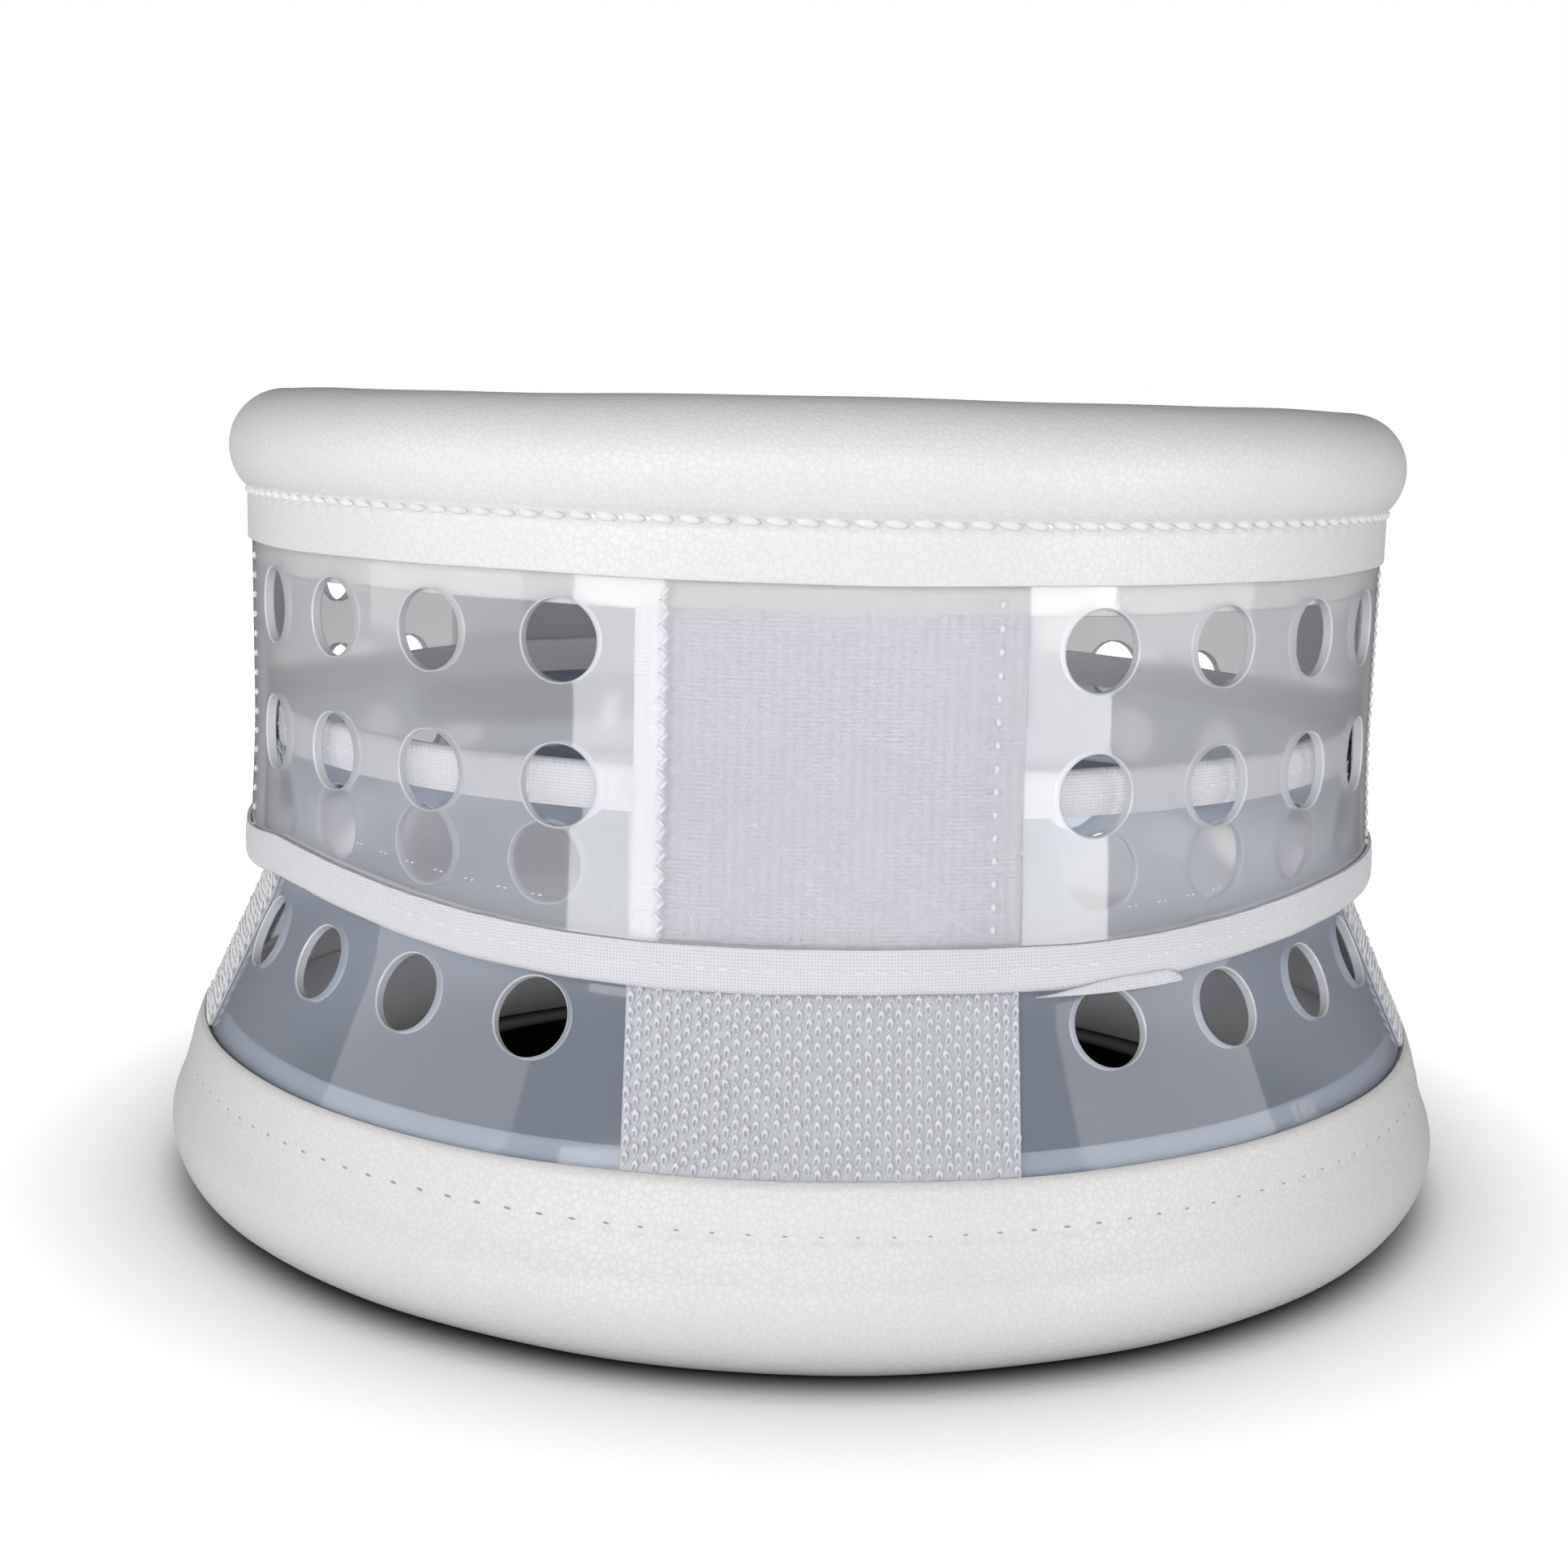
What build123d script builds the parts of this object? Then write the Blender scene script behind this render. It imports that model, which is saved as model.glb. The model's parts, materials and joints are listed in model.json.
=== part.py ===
"""Rigid two-band neck brace: two perforated polyethylene bands, one sliding inside the other,
each with a padded leatherette roll on its outer edge and a hook-and-loop strap behind the neck.

Millimetres, +Z up. The origin is the centre of the footprint, on the surface it stands on.
The front of the neck faces -Y. Angles are measured about Z from the front, positive towards +X,
so the rear is at 180 degrees. Left is the -X side and right the +X side.
A layer's depth is its offset from the outer face of the sheet that carries it, measured along
the radius: below zero is inside the band, above zero is outside it.
"""

import os
from math import atan2, cos, degrees, radians, sin, sqrt, tan

from build123d import *

os.makedirs("parts", exist_ok=True)

# --- clearances -------------------------------------------------------------------------------
lap_gap = 0.05  # between layers that are sewn or glued together
slide_gap = 0.35  # between the two bands, and between a strap and what it lies on
hinge_gap = 0.4  # between the sewn end of a strap and its free length

# --- heights ----------------------------------------------------------------------------------
collar_height = 91.0  # floor to the top of the chin roll
overlap_bottom = 35.6  # lower edge of the upper band, binding included
overlap_top = 56.4  # upper edge of the lower band, binding included

# --- sheets -----------------------------------------------------------------------------------
sheet_thickness = 1.1
upper_radius = 66.0  # outer face of the upper sheet
upper_flare = 0.9  # how far the upper sheet opens at its lower edge
upper_flare_height = 17.4  # height of the part that opens
upper_flare_round = 150.0  # radius that blends the opening in
lower_flare = 9.95  # how far the lower sheet opens towards the shoulders
waist_rise = 1.7  # from the upper band's lower edge up to the corner of the flare
foot_height = 15.6  # lower corner of the flare
waist_round = 20.0  # radius that blends both corners of the flare
rear_gap = 20.0  # opening between the ends of the bands

# --- breathing holes --------------------------------------------------------------------------
hole_diameter = 8.0
hole_pitch = 15.4  # along the upper sheet
front_hole_distance = 26.4  # from the middle of the front to the upper sheet's first hole
lower_hole_pitch = 15.1  # along the lower sheet's waist
lower_front_hole_distance = 28.0  # from the middle of the front to the lower sheet's first hole
front_hole_count = 4  # on each side, between the front patch and the side patch
rear_hole_count = 3  # on each side, behind the side patch
rear_hole_margin = 8.0  # from the side patch to the first hole behind it
upper_hole_heights = (68.0, 54.2)
lower_hole_height = 46.0
flare_hole_height = 31.3

# --- rolls ------------------------------------------------------------------------------------
cover_thickness = 0.8
chin_roll_radius = 6.4
chin_roll_inset = 4.2  # from the sheet's outer face in to the middle of the roll
shoulder_roll_radius = 7.5
shoulder_roll_inset = 4.7
rest_flat_width = 4.4  # flat ring that the shoulder roll stands on
chin_strip_bottom = 74.2  # lower edge of the leatherette strip outside the upper sheet
chin_flap_bottom = 71.2  # lower edge of the leatherette flap inside it
shoulder_strip_top = 19.1  # upper edge of the strip outside the lower sheet
shoulder_flap_top = 21.3  # upper edge of the flap inside it

# --- tapes ------------------------------------------------------------------------------------
binding_thickness = 0.4
binding_width = 4.5
patch_width = 38.0  # hook-and-loop tape
patch_thickness = 0.5
side_patch_distance = 80.6  # from the middle of the front to each side patch, along the sheet

# --- rear straps ------------------------------------------------------------------------------
upper_strap_width = 25.0
lower_strap_height = 13.0
lower_strap_rise = 0.8  # from the shoulder strip up to the lower strap
strap_thickness = 0.8
strap_hook_length = 24.0
strap_base_length = 18.0
landing_length = 30.0
strap_end_margin = 5.2  # from the end of a sheet to what is sewn beside it
tab_length = 12.0
tab_thickness = 1.7

# --- worked out -------------------------------------------------------------------------------
lower_radius = upper_radius - sheet_thickness - 2 * (lap_gap + patch_thickness) - slide_gap
foot_radius = lower_radius + lower_flare
waist_height = overlap_bottom + waist_rise
flare_angle = degrees(atan2(lower_flare, waist_height - foot_height))
inner_face = -sheet_thickness - lap_gap
chin_roll_centre = (upper_radius - chin_roll_inset, collar_height - chin_roll_radius)
shoulder_roll_height = sqrt(shoulder_roll_radius**2 - (rest_flat_width / 2) ** 2)
shoulder_roll_centre = (foot_radius - shoulder_roll_inset, shoulder_roll_height)
chin_core_radius = chin_roll_radius - cover_thickness
shoulder_core_radius = shoulder_roll_radius - cover_thickness
patch_outer = lap_gap + patch_thickness
strap_hook_inner = patch_outer + slide_gap
strap_inner = strap_hook_inner + patch_thickness + lap_gap
strap_outer = strap_inner + strap_thickness
tab_inner = strap_outer + (tab_thickness - strap_thickness) / 2 - tab_thickness


def arc_angle(length):
    """Angle in degrees that this length takes up along the upper sheet."""
    return degrees(length / upper_radius)


end_angle = 180 - arc_angle(rear_gap / 2)
cap_angle = arc_angle(cover_thickness)
gap_angle = arc_angle(lap_gap)
front_patch_angle = arc_angle(patch_width / 2)
side_patch_start = arc_angle(side_patch_distance)
side_patch_end = arc_angle(side_patch_distance + patch_width)
sewn_end = end_angle - arc_angle(strap_end_margin)
strap_start = sewn_end + arc_angle(hinge_gap)
landing_start = 360 - sewn_end
landing_end = landing_start + arc_angle(landing_length)
strap_hook_end = landing_end - arc_angle(tab_length / 4)
strap_hook_start = strap_hook_end - arc_angle(strap_hook_length)
tab_end = strap_hook_end + arc_angle(tab_length)

strap_bottom = (overlap_bottom + binding_width + chin_strip_bottom - upper_strap_width) / 2
lower_strap_bottom = shoulder_strip_top + lower_strap_rise


def core_entry(centre, core_radius, radius):
    """Height of the foam core's surface above or below its middle, at this radius."""
    return sqrt(core_radius**2 - (radius - centre[0]) ** 2)


chin_entry = core_entry(chin_roll_centre, chin_core_radius, upper_radius - sheet_thickness)
shoulder_entry = core_entry(shoulder_roll_centre, shoulder_core_radius, foot_radius - sheet_thickness)
upper_sheet_top = chin_roll_centre[1] - chin_entry - lap_gap
upper_sheet_bottom = overlap_bottom + binding_thickness + lap_gap
lower_sheet_top = overlap_top - binding_thickness - lap_gap
lower_sheet_bottom = shoulder_roll_centre[1] + shoulder_entry + lap_gap


def radial_plane(angle):
    """Vertical half-plane through the Z axis: x is the radius and y is the height."""
    turn = radians(angle)
    return Plane(origin=(0, 0, 0), x_dir=(sin(turn), -cos(turn), 0), z_dir=(-cos(turn), -sin(turn), 0))


def upper_wall(depth):
    """Outer face of the upper sheet at this depth, from above its roll to below its edge."""
    overrun = 10
    flare_top = overlap_bottom + upper_flare_height
    end_radius = upper_radius + upper_flare * (1 + overrun / upper_flare_height)
    return FilletPolyline(
        (upper_radius + depth, collar_height + overrun),
        (upper_radius + depth, flare_top),
        (end_radius + depth, overlap_bottom - overrun),
        radius=upper_flare_round,
    )


def lower_wall(depth):
    """Outer face of the lower sheet at this depth, from above its edge to below the floor."""
    overrun = 10
    return FilletPolyline(
        (lower_radius + depth, overlap_top + overrun),
        (lower_radius + depth, waist_height),
        (foot_radius + depth, foot_height),
        (foot_radius + depth, -overrun),
        radius=waist_round,
    )


def layer(wall_line, inner, outer, bottom, top):
    """Section of a layer between two depths on a wall, cut off level at two heights."""
    with BuildSketch() as section:
        with BuildLine():
            inside = wall_line(inner)
            outside = wall_line(outer)
            Line(inside @ 0, outside @ 0)
            Line(inside @ 1, outside @ 1)
        make_face()
        with Locations((foot_radius, (bottom + top) / 2)):
            Rectangle(foot_radius, top - bottom, mode=Mode.INTERSECT)
    return section.sketch


def binding(wall_line, bottom, top, web_at_top):
    """U section of a tape folded over a sheet's level edge, its web above or below the legs."""
    fold = binding_thickness + lap_gap
    with BuildSketch() as section:
        add(layer(wall_line, inner_face - binding_thickness, fold, bottom, top))
        if web_at_top:
            add(layer(wall_line, inner_face, lap_gap, bottom, top - binding_thickness), mode=Mode.SUBTRACT)
        else:
            add(layer(wall_line, inner_face, lap_gap, bottom + binding_thickness, top), mode=Mode.SUBTRACT)
    return section.sketch


def front_hole_angles(first, pitch, radius):
    """Angles of the breathing holes ahead of the side patch, from distances along a sheet."""
    return [degrees((first + pitch * i) / radius) for i in range(front_hole_count)]


def hole_planes(front, radius, heights, lean):
    """A plane on each breathing hole, square to the wall, which looks up by lean degrees."""
    rear_start = side_patch_distance + patch_width + rear_hole_margin
    rear = [arc_angle(rear_start + hole_pitch * i) for i in range(rear_hole_count)]
    planes = []
    for angle in front + rear:
        for side in (-1, 1):
            across = radial_plane(side * angle).x_dir
            outward = across * cos(radians(lean)) + Vector(0, 0, sin(radians(lean)))
            planes += [Plane(origin=across * radius + Vector(0, 0, z), z_dir=outward) for z in heights]
    return planes


# ============================== lower band ====================================================

with BuildPart() as lower_sheet:
    with BuildSketch(radial_plane(-end_angle)):
        add(layer(lower_wall, -sheet_thickness, 0, lower_sheet_bottom, lower_sheet_top))
    revolve(axis=Axis.Z, revolution_arc=2 * end_angle)
    lower_hole_angles = front_hole_angles(lower_front_hole_distance, lower_hole_pitch, lower_radius)
    with Locations(*hole_planes(lower_hole_angles, lower_radius, [lower_hole_height], 0)):
        Cylinder(hole_diameter / 2, 4 * sheet_thickness, mode=Mode.SUBTRACT)
    flare_hole_radius = lower_radius + (waist_height - flare_hole_height) * tan(radians(flare_angle))
    with Locations(*hole_planes(lower_hole_angles, flare_hole_radius, [flare_hole_height], flare_angle)):
        Cylinder(hole_diameter / 2, 4 * sheet_thickness, mode=Mode.SUBTRACT)
lower_sheet.part.label = "lower_sheet"
export_step(lower_sheet.part, "parts/lower_sheet.step")

with BuildPart() as lower_rim_cover:
    with BuildSketch(radial_plane(-end_angle)):
        with Locations(shoulder_roll_centre):
            Circle(shoulder_roll_radius)
        add(layer(lower_wall, lap_gap, lap_gap + cover_thickness, shoulder_roll_height, shoulder_strip_top))
        add(layer(lower_wall, inner_face - cover_thickness, inner_face, shoulder_roll_height, shoulder_flap_top))
        with Locations((foot_radius, 0)):
            Rectangle(foot_radius, foot_radius, align=(Align.CENTER, Align.MIN), mode=Mode.INTERSECT)
    revolve(axis=Axis.Z, revolution_arc=2 * end_angle)
    with BuildSketch(radial_plane(cap_angle - end_angle)):
        with Locations(shoulder_roll_centre):
            Circle(shoulder_core_radius)
        with Locations((foot_radius, cover_thickness)):
            Rectangle(foot_radius, foot_radius, align=(Align.CENTER, Align.MIN), mode=Mode.INTERSECT)
    revolve(axis=Axis.Z, revolution_arc=2 * (end_angle - cap_angle), mode=Mode.SUBTRACT)
    with BuildSketch(radial_plane(-end_angle)):
        slot_bottom = lower_sheet_bottom - lap_gap
        add(layer(lower_wall, inner_face, lap_gap, slot_bottom, shoulder_flap_top + 1))
    revolve(axis=Axis.Z, revolution_arc=2 * end_angle, mode=Mode.SUBTRACT)
lower_rim_cover.part.label = "lower_rim_cover"
export_step(lower_rim_cover.part, "parts/lower_rim_cover.step")

with BuildPart() as lower_rim_foam:
    with BuildSketch(radial_plane(cap_angle + gap_angle - end_angle)):
        with Locations(shoulder_roll_centre):
            Circle(shoulder_core_radius - lap_gap)
        with Locations((foot_radius, cover_thickness + lap_gap)):
            Rectangle(foot_radius, foot_radius, align=(Align.CENTER, Align.MIN), mode=Mode.INTERSECT)
        add(
            layer(lower_wall, inner_face, lap_gap, lower_sheet_bottom - lap_gap, shoulder_flap_top),
            mode=Mode.SUBTRACT,
        )
    revolve(axis=Axis.Z, revolution_arc=2 * (end_angle - cap_angle - gap_angle))
lower_rim_foam.part.label = "lower_rim_foam"
export_step(lower_rim_foam.part, "parts/lower_rim_foam.step")

with BuildPart() as lower_edge_binding:
    with BuildSketch(radial_plane(-end_angle)):
        add(binding(lower_wall, overlap_top - binding_width, overlap_top, web_at_top=True))
    revolve(axis=Axis.Z, revolution_arc=2 * end_angle)
lower_edge_binding.part.label = "lower_edge_binding"
export_step(lower_edge_binding.part, "parts/lower_edge_binding.step")

lower_bare_bottom = shoulder_flap_top + lap_gap
lower_patch_bottom = shoulder_strip_top + lap_gap
lower_patch_top = overlap_top - binding_width - lap_gap

with BuildPart() as front_loop_patch:
    with BuildSketch(radial_plane(-front_patch_angle)):
        add(layer(lower_wall, lap_gap, patch_outer, lower_patch_bottom, lower_patch_top))
    revolve(axis=Axis.Z, revolution_arc=2 * front_patch_angle)
front_loop_patch.part.label = "front_loop_patch"
export_step(front_loop_patch.part, "parts/front_loop_patch.step")

with BuildPart() as lower_landing_loop:
    with BuildSketch(radial_plane(landing_start)):
        landing_top = lower_strap_bottom + lower_strap_height
        add(layer(lower_wall, lap_gap, patch_outer, lower_strap_bottom, landing_top))
    revolve(axis=Axis.Z, revolution_arc=landing_end - landing_start)
lower_landing_loop.part.label = "lower_landing_loop"
export_step(lower_landing_loop.part, "parts/lower_landing_loop.step")

# ============================== upper band ====================================================

with BuildPart() as upper_sheet:
    with BuildSketch(radial_plane(-end_angle)):
        add(layer(upper_wall, -sheet_thickness, 0, upper_sheet_bottom, upper_sheet_top))
    revolve(axis=Axis.Z, revolution_arc=2 * end_angle)
    upper_hole_angles = front_hole_angles(front_hole_distance, hole_pitch, upper_radius)
    with Locations(*hole_planes(upper_hole_angles, upper_radius, upper_hole_heights, 0)):
        Cylinder(hole_diameter / 2, 4 * sheet_thickness, mode=Mode.SUBTRACT)
upper_sheet.part.label = "upper_sheet"
export_step(upper_sheet.part, "parts/upper_sheet.step")

with BuildPart() as upper_rim_cover:
    with BuildSketch(radial_plane(-end_angle)):
        with Locations(chin_roll_centre):
            Circle(chin_roll_radius)
        strip_top = chin_roll_centre[1]
        add(layer(upper_wall, lap_gap, lap_gap + cover_thickness, chin_strip_bottom, strip_top))
        add(layer(upper_wall, inner_face - cover_thickness, inner_face, chin_flap_bottom, strip_top))
    revolve(axis=Axis.Z, revolution_arc=2 * end_angle)
    with BuildSketch(radial_plane(cap_angle - end_angle)):
        with Locations(chin_roll_centre):
            Circle(chin_core_radius)
    revolve(axis=Axis.Z, revolution_arc=2 * (end_angle - cap_angle), mode=Mode.SUBTRACT)
    with BuildSketch(radial_plane(-end_angle)):
        add(layer(upper_wall, inner_face, lap_gap, chin_flap_bottom - 1, upper_sheet_top + lap_gap))
    revolve(axis=Axis.Z, revolution_arc=2 * end_angle, mode=Mode.SUBTRACT)
upper_rim_cover.part.label = "upper_rim_cover"
export_step(upper_rim_cover.part, "parts/upper_rim_cover.step")

with BuildPart() as upper_rim_foam:
    with BuildSketch(radial_plane(cap_angle + gap_angle - end_angle)):
        with Locations(chin_roll_centre):
            Circle(chin_core_radius - lap_gap)
        add(
            layer(upper_wall, inner_face, lap_gap, chin_flap_bottom, upper_sheet_top + lap_gap),
            mode=Mode.SUBTRACT,
        )
    revolve(axis=Axis.Z, revolution_arc=2 * (end_angle - cap_angle - gap_angle))
upper_rim_foam.part.label = "upper_rim_foam"
export_step(upper_rim_foam.part, "parts/upper_rim_foam.step")

with BuildPart() as upper_edge_binding:
    with BuildSketch(radial_plane(-end_angle)):
        add(binding(upper_wall, overlap_bottom, overlap_bottom + binding_width, web_at_top=False))
    revolve(axis=Axis.Z, revolution_arc=2 * end_angle)
upper_edge_binding.part.label = "upper_edge_binding"
export_step(upper_edge_binding.part, "parts/upper_edge_binding.step")

upper_patch_bottom = overlap_bottom + binding_width + lap_gap
upper_patch_top = chin_flap_bottom - lap_gap

with BuildPart() as front_hook_patch:
    with BuildSketch(radial_plane(-front_patch_angle)):
        add(layer(upper_wall, inner_face - patch_thickness, inner_face, upper_patch_bottom, upper_patch_top))
    revolve(axis=Axis.Z, revolution_arc=2 * front_patch_angle)
front_hook_patch.part.label = "front_hook_patch"
export_step(front_hook_patch.part, "parts/front_hook_patch.step")

with BuildPart() as upper_landing_loop:
    with BuildSketch(radial_plane(landing_start)):
        add(layer(upper_wall, lap_gap, patch_outer, strap_bottom, strap_bottom + upper_strap_width))
    revolve(axis=Axis.Z, revolution_arc=landing_end - landing_start)
upper_landing_loop.part.label = "upper_landing_loop"
export_step(upper_landing_loop.part, "parts/upper_landing_loop.step")

# ============================== side patches and end bindings =================================

side_starts = {"left": -side_patch_end, "right": side_patch_start}

for side, start in side_starts.items():
    with BuildPart() as loop_patch:
        with BuildSketch(radial_plane(start)):
            add(layer(lower_wall, lap_gap, patch_outer, lower_patch_bottom, lower_patch_top))
        revolve(axis=Axis.Z, revolution_arc=side_patch_end - side_patch_start)
    loop_patch.part.label = f"{side}_loop_patch"
    export_step(loop_patch.part, f"parts/{side}_loop_patch.step")

    with BuildPart() as hook_patch:
        with BuildSketch(radial_plane(start)):
            hook_inner = inner_face - patch_thickness
            add(layer(upper_wall, hook_inner, inner_face, upper_patch_bottom, upper_patch_top))
        revolve(axis=Axis.Z, revolution_arc=side_patch_end - side_patch_start)
    hook_patch.part.label = f"{side}_hook_patch"
    export_step(hook_patch.part, f"parts/{side}_hook_patch.step")

bands = {
    "lower": (lower_wall, lower_bare_bottom, lower_patch_top),
    "upper": (upper_wall, upper_patch_bottom, upper_patch_top),
}
fold_angle = arc_angle(binding_thickness + lap_gap)

for band, (wall_line, bottom, top) in bands.items():
    for side, sign in (("left", -1), ("right", 1)):
        leg_end = sign * (end_angle - arc_angle(binding_width))
        web_end = sign * (end_angle + fold_angle)
        with BuildPart() as end_binding:
            with BuildSketch(radial_plane(min(leg_end, web_end))):
                fold = binding_thickness + lap_gap
                add(layer(wall_line, inner_face - binding_thickness, fold, bottom, top))
            revolve(axis=Axis.Z, revolution_arc=abs(web_end - leg_end))
            with BuildSketch(radial_plane(min(leg_end, sign * (end_angle + gap_angle)))):
                add(layer(wall_line, inner_face, lap_gap, bottom, top))
            sheet_side = abs(sign * (end_angle + gap_angle) - leg_end)
            revolve(axis=Axis.Z, revolution_arc=sheet_side, mode=Mode.SUBTRACT)
        end_binding.part.label = f"{band}_end_binding_{side}"
        export_step(end_binding.part, f"parts/{band}_end_binding_{side}.step")

# ============================== rear straps ===================================================

straps = {
    "lower": (lower_wall, lower_strap_bottom, lower_strap_bottom + lower_strap_height),
    "upper": (upper_wall, strap_bottom, strap_bottom + upper_strap_width),
}

for band, (wall_line, bottom, top) in straps.items():
    with BuildPart() as strap_base:
        with BuildSketch(radial_plane(sewn_end - arc_angle(strap_base_length))):
            add(layer(wall_line, lap_gap, strap_outer, bottom, top))
        revolve(axis=Axis.Z, revolution_arc=arc_angle(strap_base_length))
    strap_base.part.label = f"{band}_strap_base"
    export_step(strap_base.part, f"parts/{band}_strap_base.step")

    with BuildPart() as strap:
        with BuildSketch(radial_plane(strap_start)):
            add(layer(wall_line, strap_inner, strap_outer, bottom, top))
        revolve(axis=Axis.Z, revolution_arc=strap_hook_end - strap_start)
    strap.part.label = f"{band}_strap"
    export_step(strap.part, f"parts/{band}_strap.step")

    with BuildPart() as strap_hook:
        with BuildSketch(radial_plane(strap_hook_start)):
            add(layer(wall_line, strap_hook_inner, strap_inner - lap_gap, bottom, top))
        revolve(axis=Axis.Z, revolution_arc=strap_hook_end - strap_hook_start)
    strap_hook.part.label = f"{band}_strap_hook"
    export_step(strap_hook.part, f"parts/{band}_strap_hook.step")

    with BuildPart() as strap_tab:
        with BuildSketch(radial_plane(strap_hook_end + gap_angle)):
            add(layer(wall_line, tab_inner, tab_inner + tab_thickness, bottom, top))
        revolve(axis=Axis.Z, revolution_arc=tab_end - strap_hook_end - gap_angle)
    strap_tab.part.label = f"{band}_strap_tab"
    export_step(strap_tab.part, f"parts/{band}_strap_tab.step")
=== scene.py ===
"""Look of a rigid two-band neck collar: every visible piece, its finish and a plain studio.

Metres, +Z up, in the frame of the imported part. Angles are measured about Z from the front (-Y),
positive towards +X, so the rear is at pi. A depth is the distance out from a sheet's outer face.
"""

import json
import logging
import math
from collections.abc import Callable, Sequence
from dataclasses import dataclass
from enum import Enum

import bpy
import numpy as np
from mathutils import Matrix, Vector

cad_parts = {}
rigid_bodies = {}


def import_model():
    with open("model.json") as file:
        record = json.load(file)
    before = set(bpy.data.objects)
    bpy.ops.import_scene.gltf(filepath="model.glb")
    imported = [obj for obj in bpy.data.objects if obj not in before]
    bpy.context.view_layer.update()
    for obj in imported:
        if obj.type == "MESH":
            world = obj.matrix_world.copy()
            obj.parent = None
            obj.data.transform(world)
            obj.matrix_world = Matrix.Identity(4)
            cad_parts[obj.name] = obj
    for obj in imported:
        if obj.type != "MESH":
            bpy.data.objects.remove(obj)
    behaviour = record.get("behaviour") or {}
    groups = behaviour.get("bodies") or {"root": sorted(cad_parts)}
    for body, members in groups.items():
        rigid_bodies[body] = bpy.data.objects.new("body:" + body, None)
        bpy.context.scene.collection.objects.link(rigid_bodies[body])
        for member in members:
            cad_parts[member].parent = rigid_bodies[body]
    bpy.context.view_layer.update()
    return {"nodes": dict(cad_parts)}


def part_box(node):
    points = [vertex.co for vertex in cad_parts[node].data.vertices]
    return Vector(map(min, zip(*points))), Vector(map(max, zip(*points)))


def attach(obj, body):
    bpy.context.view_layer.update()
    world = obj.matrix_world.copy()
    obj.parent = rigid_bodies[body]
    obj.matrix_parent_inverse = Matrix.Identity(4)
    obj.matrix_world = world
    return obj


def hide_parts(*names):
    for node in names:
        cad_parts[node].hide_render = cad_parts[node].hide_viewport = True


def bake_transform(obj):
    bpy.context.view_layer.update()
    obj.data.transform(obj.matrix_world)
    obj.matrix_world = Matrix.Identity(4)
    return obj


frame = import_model()

log = logging.getLogger("collar")

MM = 0.001
Array = np.ndarray
Section = list[tuple[float, float]]
Span = tuple[float, float]
Colour = tuple[float, float, float]

# --- sheets ---------------------------------------------------------------------------------
LAP_GAP = 0.05 * MM
SLIDE_GAP = 0.35 * MM
SHEET_THICKNESS = 1.1 * MM
TAPE_THICKNESS = 0.5 * MM
UPPER_RADIUS = 66.0 * MM
UPPER_FLARE_TOP = 53.0 * MM
UPPER_FLARE_SLOPE = 0.052
LOWER_RADIUS = UPPER_RADIUS - SHEET_THICKNESS - 2 * (LAP_GAP + TAPE_THICKNESS) - SLIDE_GAP
WAIST_HEIGHT = 37.3 * MM
FOOT_HEIGHT = 15.6 * MM
FLARE = 9.95 * MM
FLARE_SLOPE = FLARE / (WAIST_HEIGHT - FOOT_HEIGHT)
CORNER_ROUND = 4.0 * MM
REAR_GAP = 20.0 * MM

# --- holes ----------------------------------------------------------------------------------
HOLE_RADIUS = 4.0 * MM
HOLE_CHAMFER = 0.15 * MM
UPPER_FRONT_HOLES = (26.4 * MM, 15.4 * MM)
LOWER_FRONT_HOLES = (28.0 * MM, 15.1 * MM)
REAR_HOLES = [126.6 * MM + 15.4 * MM * k for k in range(3)]
UPPER_HOLE_HEIGHTS = (68.0 * MM, 54.2 * MM)
LOWER_HOLE_HEIGHTS = (46.0 * MM, 31.3 * MM)

# --- tapes and straps -----------------------------------------------------------------------
BINDING_THICKNESS = 0.4 * MM
BINDING_WIDTH = 4.5 * MM
PATCH_WIDTH = 38.0 * MM
SIDE_PATCH_DISTANCE = 80.6 * MM
STRAP_THICKNESS = 0.8 * MM
STRAP_BASE_LENGTH = 18.0 * MM
STRAP_HOOK_LENGTH = 24.0 * MM
LANDING_LENGTH = 30.0 * MM
STRAP_END_MARGIN = 5.2 * MM
TAB_LENGTH = 12.0 * MM
LOWER_STRAP_HEIGHTS = (19.9 * MM, 32.9 * MM)
UPPER_EDGE_HEIGHT = 35.6 * MM
LOWER_EDGE_HEIGHT = 56.4 * MM
FRONT_HOOK_TOP = 78.0 * MM
SIDE_HOOK_TOP = 71.15 * MM
LOOP_TAPE_HEIGHTS = (19.15 * MM, 51.85 * MM)

# --- worked out, as distances along the upper sheet -----------------------------------------
HALF_LENGTH = math.pi * UPPER_RADIUS - REAR_GAP / 2
END_ANGLE = HALF_LENGTH / UPPER_RADIUS
SEWN_END = HALF_LENGTH - STRAP_END_MARGIN
FULL_TURN = 2 * math.pi * UPPER_RADIUS
LANDING_START = FULL_TURN - SEWN_END
LANDING_END = LANDING_START + LANDING_LENGTH
STRAP_END = LANDING_END - TAB_LENGTH / 4
STRAP_HOOK_DEPTH = LAP_GAP + TAPE_THICKNESS + SLIDE_GAP
STRAP_DEPTH = STRAP_HOOK_DEPTH + TAPE_THICKNESS + LAP_GAP


def srgb(red: float, green: float, blue: float) -> tuple[float, float, float, float]:
    """Linear RGBA of a colour given as it looks on a screen."""
    return tuple(c / 12.92 if c < 0.04 else ((c + 0.055) / 1.055) ** 2.4 for c in (red, green, blue)) + (1.0,)


# === walls ==================================================================================
def ramp(run: Array, width: float) -> Array:
    """Zero below zero and equal to its input above, rounded over width on each side."""
    return np.where(run <= -width, 0.0, np.where(run >= width, run, (run + width) ** 2 / (4 * width)))


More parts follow.
